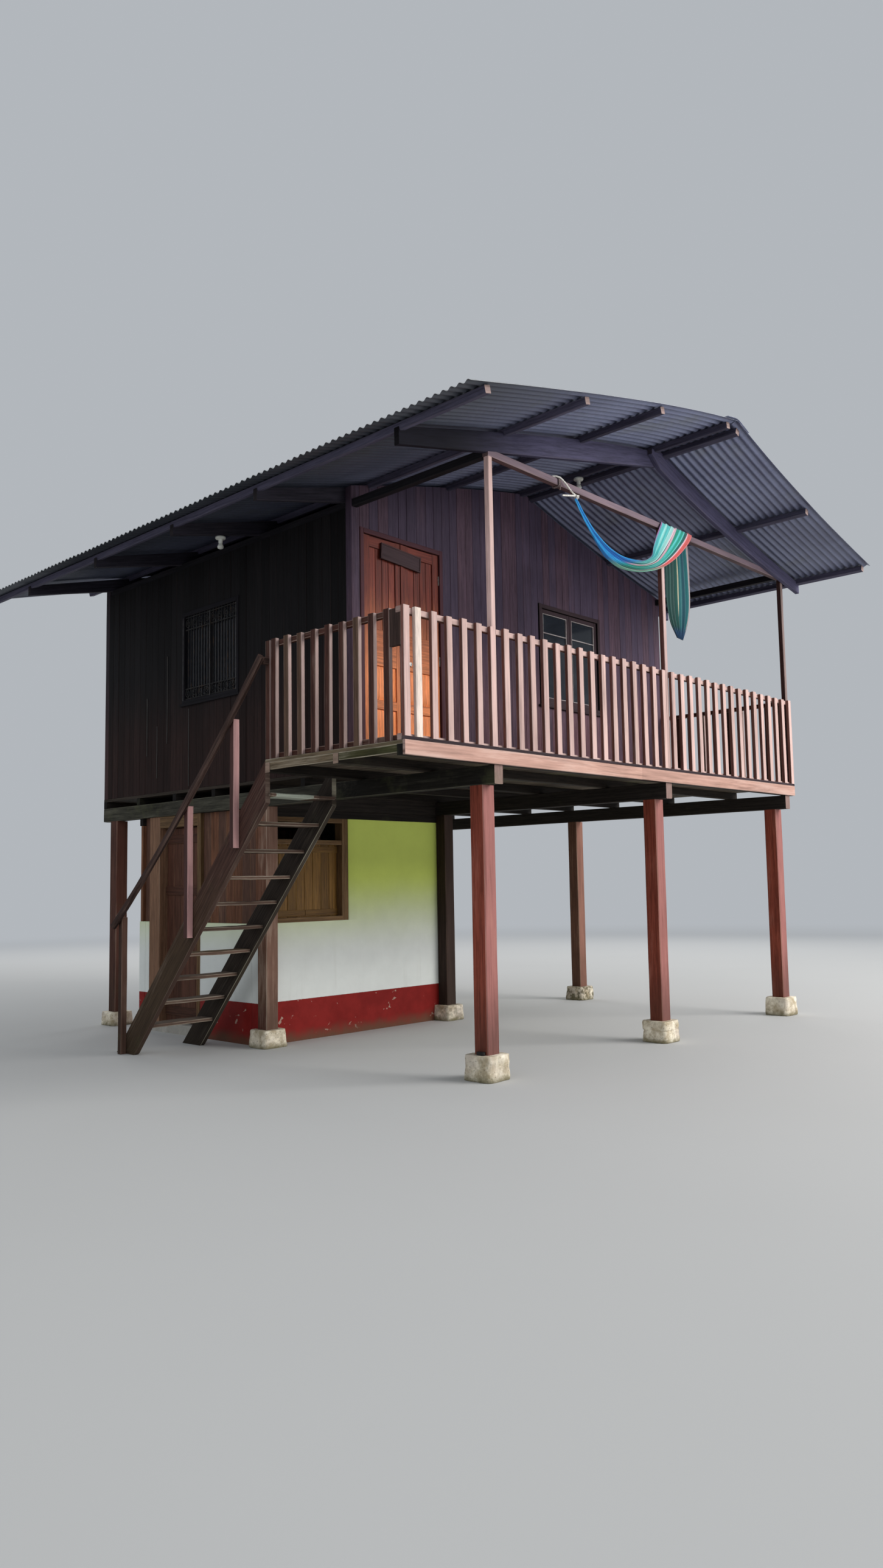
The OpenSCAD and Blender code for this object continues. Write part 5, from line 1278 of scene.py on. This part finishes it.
def handrailZ(y):
    # The handrail runs at one height over that line, and swings up as the square of its share of the reach
    return stringerMid(y) + stair["over"] + stair["swing"] * ((y - deckBack) / stair["reach"]) ** 2


parts = []
for x, tone in zip(stair["stringers"], (0.4, 0.7)):
    end = deckBack + (stair["top"] + 172) / fall
    y = np.concatenate([np.linspace(deckBack, 3380, 16), np.linspace(3400, end, 16)])
    path, outline = np.stack([0 * y + x, y, stringerMid(y)], -1), plank(stair["thick"], 2 * stair["halfDeep"], 4, 3)
    part = sweep(path, (1, 0, 0), (0, 0, 1), outline, tone, dice.uniform(0, 9, 2), rough=0.6, dice=dice)
    part["co"][:, 2] = np.clip(part["co"][:, 2], 0, floorTop - 1)
    part["co"][:, 1] = np.maximum(part["co"][:, 1], deckBack + 1)
    parts.append(part)
build("stair_stringer_boards", parts[:1], "stairWood", ["stair_stringers"])
build("stair_inner_stringer_board", parts[1:], "innerStringer")
parts, start, long = [], stair["stringers"][0] + 10, stair["treadLong"]
s = np.linspace(0, 1, 9)
for i in range(stair["treads"]):
    # A tread sags by a sine of its length
    z = stair["first"] + i * stair["rise"]
    y = deckBack + (stair["top"] - z) / fall + dice.uniform(-3, 3)
    path = np.stack([start + long * s, 0 * s + y, z - 17.5 - 3.5 * np.sin(np.pi * s) * dice.uniform(0.2, 1)], -1)
    part = sweep(path, (0, 1, 0), (0, 0, 1), plank(*stair["tread"], 7, 2), dice.uniform(0, 1),
                 dice.uniform(0, 9, 2), rough=0.9, dice=dice)
    if i == stair["treads"] - 1:  # the top one is whitened over part of its length
        f, u, b = part["faces"][0]
        share = (part["co"][f][..., 0] - start) / long
        b[..., 2] = np.where((share > 0.05) & (share < 0.64), 2.0, 0.2)
    parts.append(part)
build("stair_tread_boards", parts, "treadWood", ["stair_treads"])
parts, (x0, x1) = [], stair["newelX"]
for k, y in enumerate(stair["newels"]):
    foot = 0 if k == 0 else stringerMid(y) - 0.8 * stair["halfDeep"]
    parts.append(bar(dice, (x0, y, foot), (x1, y + 60, float(handrailZ(y + 30)) + 14), cut=5, split=2, step=200,
                     bend=2, rough=0.5, tone=0.5))
build("stair_newel_posts", parts[1:], "newelPaint", ["stair_newels"])
build("stair_foot_newel_post", parts[:1], "footNewel")
# The pole wanders by a few millimetres and swells by some per cent along its length
y = np.linspace(*stair["poleEnds"], 26)
line = np.stack([0 * y + stair["poleX"] + 2 * np.sin(y / 260), y, handrailZ(y) + 5 * np.sin(y / 300 + 1)], -1)
top = unit(np.cross(unit(np.gradient(line, axis=0)), np.array([-1.0, 0, 0])))
swell = 1 + 0.05 * np.sin(y / 170) + 0.04 * np.sin(y / 61)
pole = sweep(line, (1, 0, 0), top, plank(*stair["pole"], 14, 3), scale=swell * 0.95, rough=0.7, dice=dice)
end = stair["poleEnds"][0]
high = float(handrailZ(end))
knob = bar(dice, (x0 + 2, end + 2, high - 58), (x1 - 1, end + 58, high - 2), axis=0, cut=5)
build("stair_handrail_pole", [pole, knob], "poleWood", ["stair_handrail"])

room = {
    "x": (20, 2620), "y": (2890, 5040), "wall": 120, "half": 1155, "tall": 2200, "window": (140, 1170),
    "doorway": (3880, 4840), "headTop": 2280, "seed": 127,
}
print("ground room")
dice = np.random.default_rng(room["seed"])


def masonry(low, high, cut=7):
    # A rendered block: an upright outline with rounded corners, stations up its height, and a surface that
    # waves by two ripples. The waves depend on place alone, so neighbouring blocks stay flush
    low, high = np.asarray(low, float), np.asarray(high, float)
    w, d, h = high - low
    path = np.tile((low + high) / 2, (max(4, int(h / 110)) + 1, 1))
    path[:, 2] = np.linspace(low[2], high[2], len(path))
    outline = plank(w, d, cut, max(2, int(max(w, d) / 130)))
    return sweep(path, (1, 0, 0), (0, 1, 0), outline,
                 relief=lambda co: ripple(co, 1100, 5) * 1.6 + ripple(co, 260, 6) * 0.7 - 1.6)


(x0, x1), (y0, y1), (d0, d1), half, tall = (room[k] for k in ("x", "y", "doorway", "half", "tall"))
innerX, innerY = (x0 + room["wall"], x1 - room["wall"]), (y0 + room["wall"], y1 - room["wall"])
blocks = {
    "front": (((x0, y0, 0), (x1, innerY[0], half)), ((room["window"][1], y0, half - 1), (x1, innerY[0], tall))),
    "left": (((x0, innerY[0], 0), (innerX[0], d0, half)), ((x0, d1, 0), (innerX[0], innerY[1], half))),
    "right": (((innerX[1], innerY[0], 0), (x1, innerY[1], room["headTop"])),),
    "back": (((x0, innerY[1], 0), (x1, y1, half)),),
}
for name, boxes in blocks.items():
    parts = [masonry(*box) for box in boxes]
    build("room_" + name + "_render", parts, "render", ["room_" + name + "_wall"], smooth=50)
parts = [masonry((innerX[0], innerY[0], 0), (innerX[1], innerY[1], 99), 3),
         masonry((x0, d0 + 1, 0), (innerX[0], d1 - 1, 99), 8)]
build("room_floor_slab", parts, "concrete", ["room_floor"], smooth=50)
parts = []
for y in (y0, y1 - 60):
    parts.append(bar(dice, (x0, y, tall), (x1, y + 60, room["headTop"] - 1), cut=3, step=500))
    parts.append(bar(dice, (100, y + 2, girderFoot), (2500, y + 58, girderTop - 1), cut=3, step=500))
build("room_head_timbers", parts, "frameWood", ["room_head_boards"])

shutter = {"side": 81, "frame": 45, "bar": (1930, 1975), "boards": 8, "seed": 131}
dice = np.random.default_rng(shutter["seed"])
(x0, x1), (z0, z1), w, wide = room["window"], (half, tall), shutter["frame"], shutter["side"]
a, b, (low, high) = x0 + wide, x1 - wide, shutter["bar"]
jamb = {"cut": 4, "split": 2, "step": 260}
parts = [bar(dice, (p, 2894, z0), (q, 3009, z1), tone=0.4, **jamb) for p, q in ((x0, a), (b, x1))]
parts += [bar(dice, (a, 2895, p), (b, 3008, q), tone=0.45, **jamb) for p, q in ((z0, z0 + w), (z1 - w, z1))]
parts.append(bar(dice, (a, 2901, low), (b, 3008, high), cut=4, step=260, tone=0.6))
build("room_window_frame", parts, "jambWood", ["room_window"])
edges = np.linspace(a, b, shutter["boards"] + 1)
parts = [bar(dice, (p + 1.5, 2980, z0 + w), (q - 1.5, 3008, low), axis=2, cut=4, step=260, rough=0.4)
         for p, q in zip(edges[:-1], edges[1:])]
parts += [bar(dice, (p, 2971, z), (q, 2981, z + 62), cut=3, step=200, tone=0.35)
          for p, q in ((a + 2, 652), (658, b - 2)) for z in (1210, 1850)]
build("room_window_shutters", parts, "shutterWood")

cladding = {
    "width": 135, "corner": ((20, 2890, 1155), (138, 2949, 2200)),
    "rows": ((60, 98, 2950, 3879, 1156, 2278, 1), (60, 98, 4841, 4979, 1156, 2278, 1),
             (20, 2620, 4982, 5018, 1156, 2199, 0)),
}


def boardRow(dice, x0, x1, y0, y1, z0, z1, axis):
    # Upright boards on a half wall, side by side along an axis
    span = (x0, x1) if axis == 0 else (y0, y1)
    edges = np.linspace(*span, max(1, round((span[1] - span[0]) / cladding["width"])) + 1)
    made = []
    for a, b in zip(edges[:-1], edges[1:]):
        shift = dice.uniform(-2, 2)
        low = (a + 1, y0 + shift, z0) if axis == 0 else (x0 + shift, a + 1, z0)
        high = (b - 1, y1 + shift, z1) if axis == 0 else (x1 + shift, b - 1, z1)
        made.append(bar(dice, low, high, axis=2, cut=3.5, step=300, bend=1.2, rough=0.5))
    return made


parts = [bar(dice, *cladding["corner"], cut=5, split=2, step=260, tone=0.3)]
for row in cladding["rows"]:
    parts += boardRow(dice, *row)
build("room_side_boards", parts, "brownBoards", ["room_wall_boards"])

roomDoor = {
    "x": (100, 140), "y": (3948, 4632), "z": (108, 2147), "pin": (151, 4632), "levels": (408, 1847), "boards": 5,
    "posts": (((20, 3880, 100), (140, 3939, 2279), 0.3), ((22, 3940, 2156), (139, 4640, 2279), 0.3),
              ((21, 4641, 100), (140, 4839, 2279), 0.6)),
    "handle": ((0.5, -34), (13, -32), (16, -24), (12, -15), (6, -10), (6, 4), (17, 5), (17, 8), (0.5, 9)),
    "seed": 137,
}
dice = np.random.default_rng(roomDoor["seed"])
parts = [bar(dice, low, high, tone=tone, **jamb) for low, high, tone in roomDoor["posts"]]
build("room_door_posts", parts[:2], "jambWood", ["room_door_frame"])
build("room_hinge_post", parts[2:], "hingePost")
(px, py), pinEnds = roomDoor["pin"], [(0.5, -66), (7, -64), (7, -60), (6, -59)]
wing = {"axis": 1, "cut": 1, "rough": 0, "bend": 0}  # a hinge's flat leaf
parts = []
for z in roomDoor["levels"]:
    parts.append(lathe((px, py, z), pinEnds + [(r, -h) for r, h in pinEnds[::-1]], 2, 20))
    for low in (z - 60, z + 20.5):
        parts.append(lathe((px, py, low), [(9.5, 0.3), (11, 1.5), (11, 37.5), (9.5, 39.2)], 2, 24))
        parts.append(bar(dice, (140.2, py + 3, low + 0.5), (143.6, py + 55, low + 39), **wing))
build("room_door_hinge_halves", parts, "hinge")
(ya, yb), (za, zb), (xa, xb) = roomDoor["y"], roomDoor["z"], roomDoor["x"]
edges = np.linspace(ya, yb, roomDoor["boards"] + 1)
parts = [bar(dice, (xa + 10, a + 1, za + 2), (xb, b - 1 if b < yb - 1 else b - 3, zb - 2), axis=2, cut=3.5,
             step=300, bend=0.6, rough=0.4) for a, b in zip(edges[:-1], edges[1:])]
parts += [bar(dice, (xa - 4, ya + 6, z), (xa + 11, yb - 6, z + 90), axis=1, cut=3, step=200, tone=0.25)
          for z in (za + 70, 1440, zb - 160)]
build("room_door_leaf", parts, "roomDoorWood", ["room_door"], "ground_room_door")
parts = []
for z in roomDoor["levels"]:
    parts.append(lathe((px, py, z), [(9.5, -19), (11, -18), (11, 18), (9.5, 19)], 2, 24))
    parts.append(bar(dice, (140.2, py - 55, z - 18.5), (143.6, py - 3, z + 18.5), **wing))
parts.append(lathe((96, 4000, 1130), roomDoor["handle"], 0, 18))
build("room_door_metal", parts, "hinge", (), "ground_room_door")

hammock = {
    "x": 1150.0, "front": -150.0, "top": 4975.5, "span": 2040.0, "sag": 600.0, "tail": 1095.0, "pleats": 7,
    "rows": 150, "across": 85, "skin": 0.7,
}
print("hammock")
front, sag, tail = hammock["front"], hammock["sag"], hammock["tail"]
# Rows of the cloth: shares of the span and of the drop for its upper or left edge and its lower or right one,
# where it hangs from front to back, the drop, which way its folds stand and how deep they are
rows = [
    (-0.001, 0.205, -0.010, 0.250, front, sag, (0, 1, 0), 5),
    (0.063, 0.420, 0.045, 0.476, front, sag, (0, 1, 0), 6),
    (0.134, 0.606, 0.108, 0.672, front, sag, (0, 1, 0), 8),
    (0.216, 0.738, 0.175, 0.852, front, sag, (0, 1, 0), 13),
    (0.285, 0.799, 0.235, 0.955, front, sag, (0, 1, 0), 19),
    (0.382, 0.833, 0.335, 1.022, front, sag, (0, 1, 0), 20),
    (0.503, 0.784, 0.484, 0.980, front, sag, (0, 1, 0), 20),
    (0.578, 0.661, 0.654, 0.805, front, sag, (0, 1, 0), 19),
    (0.602, 0.504, 0.796, 0.532, front, sag, (0, 1, 0), 18),
    (0.638, 0.277, 0.909, 0.231, front, sag, (0, 1, 0), 15),
    (0.690, 0.040, 0.970, 0.030, front + 12, sag, (0, 0.9, 0.44), 11),
    (0.712, -0.026, 0.990, -0.026, -107, sag, (0, 0, 1), 8),
    (0.735, -0.028, 0.997, -0.028, -75, sag, (0, 0, 1), 8),
    (0.758, 0.02, 1.004, 0.02, -43, sag, (0, -0.9, 0.44), 9),
    (0.785, 0.14, 1.012, 0.13, -42, tail, (0, -1, 0), 11),
    (0.788, 0.39, 1.018, 0.36, -43, tail, (0, -1, 0), 12),
    (0.786, 0.65, 1.016, 0.62, -44, tail, (0, -1, 0), 12),
    (0.812, 0.84, 0.988, 0.80, -45, tail, (0, -1, 0), 12),
    (0.878, 0.975, 0.930, 0.985, -45, tail, (0, -1, 0), 9),
]


def hung(row, k):
    # One end of a row: k is 0 for its first edge and 2 for its second
    return [hammock["x"] + row[k] * hammock["span"], row[4], hammock["top"] - row[k + 1] * row[5]]


upper, lower, fold, deep = (smoothLine(line, hammock["rows"]) for line in zip(*[
    (hung(row, 0), hung(row, 2), row[6], row[7:]) for row in rows]))
t = np.linspace(0, 1, hammock["across"])[None, :, None]
s = np.linspace(0, 1, hammock["rows"])[:, None, None]
# Each row runs from edge to edge, with pleats as a sine of the share across; their phase drifts along
wave = np.sin(2 * np.pi * (hammock["pleats"] * (t + 0.012 * np.sin(9 * s)) + 0.15 * np.sin(14 * s + 5 * t)))
wave = wave * deep[:, None] * (0.8 + 0.2 * np.cos(17 * t + 6 * s))
cloth = upper[:, None] + (lower - upper)[:, None] * t + unit(fold)[:, None] * wave
skin = unit(np.cross(np.gradient(cloth, axis=0), np.gradient(cloth, axis=1))) * hammock["skin"]
part = shell(cloth + skin, cloth - skin)
across, along = (np.tile(np.broadcast_to(v[..., 0], cloth.shape[:2]).reshape(-1), 2) for v in (t, s))
part["faces"] = [(f, u, np.stack([across[f], along[f], 0 * along[f]], -1)) for f, u, b in part["faces"]]
clothPiece = build("hammock_cloth", [part], "cloth", ["hammock"], smooth=70)

rope = {
    "laps": 3, "half": 37.5, "beam": (932, -90, 4945), "along": 26, "knotTurns": 2.5, "tip": -13,
    "end": ((946, -129, 4935), (950, -133, 4915), (944, -135, 4890), (938, -133, 4868)),
    "line": ((876, -100, 4982), (902, -117, 4985), (946, -137, 4976), (1004, -143, 4945), (1056, -147, 4908),
             (1100, -150, 4880)),
    "toggle": ((0.5, -84), (7, -82), (8.5, -60), (8, 0), (8.5, 60), (7, 82), (0.5, 84)),
}
knot = np.array([hammock["x"] + 2, front, hammock["top"] - 0.19 * sag])
# The turns round the beam follow a squared circle of power 8 and move along it
lap = np.linspace(0, 2 * np.pi * rope["laps"], 110)
r = rope["half"] / (np.abs(np.cos(lap)) ** 8 + np.abs(np.sin(lap)) ** 8) ** (1 / 8)
x, y, z = rope["beam"]
turns = np.stack([x + rope["along"] * lap / lap[-1], y + r * np.cos(lap), z + r * np.sin(lap)], -1)
coil = [tube(turns, 5.2, 9, (1, 0, 0.01), 26), tube(smoothLine(rope["end"], 20), 4.5, 8, (0, 1, 0.2), 22)]
build("hammock_rope_turns", coil, "dullRope", smooth=60)
a = np.linspace(0, 2 * np.pi * rope["knotTurns"], 60)
ring = np.stack([knot[0] - 14 + a * 1.9, knot[1] + 13 * np.cos(a), knot[2] - 2 + 13 * np.sin(a) - a * 0.8], -1)
line = smoothLine([*rope["line"], knot - [14, 0, -8]], 50)
parts = [tube(line, 7.2, 9, (0, 0, 1), 30), tube(ring, 5.2, 8, (1, 0, 0.01), 24)]
build("hammock_rope_line", parts, "rope", ["hammock_rope"], smooth=60)
toggle = lathe((0, 0, 0), rope["toggle"], 0, 12)
toggle["co"] = toggle["co"] * [1.5, 1, 1]
toggle = turned([toggle], math.radians(rope["tip"]), knot + [-82, 0, -14], False)
build("hammock_toggle", toggle, "rope", smooth=60)

lampSet = {
    "places": ((-447.6, 2869.8, straightRoof(-497.6).item() - 150), (2460.0, 750.0, underRoof(2460.0).item() - 62)),
    "profile": ((0.5, 0), (46, -0.5), (50, -4), (50, -16), (45, -23), (30, -27), (21, -30), (20, -62), (17, -66),
                (18, -72), (24, -80), (29, -92), (30, -100), (27, -110), (19, -117), (8, -120), (0.4, -120.5)),
}
print("lamps")
parts = [lathe(place, lampSet["profile"], 2, 26) for place in lampSet["places"]]
build("lamp_holders", parts, "lamp", ["lamps"], smooth=50)

sizes = [[list(map(float, corner)) for corner in box] for box in (cadBox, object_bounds())]
print("done")
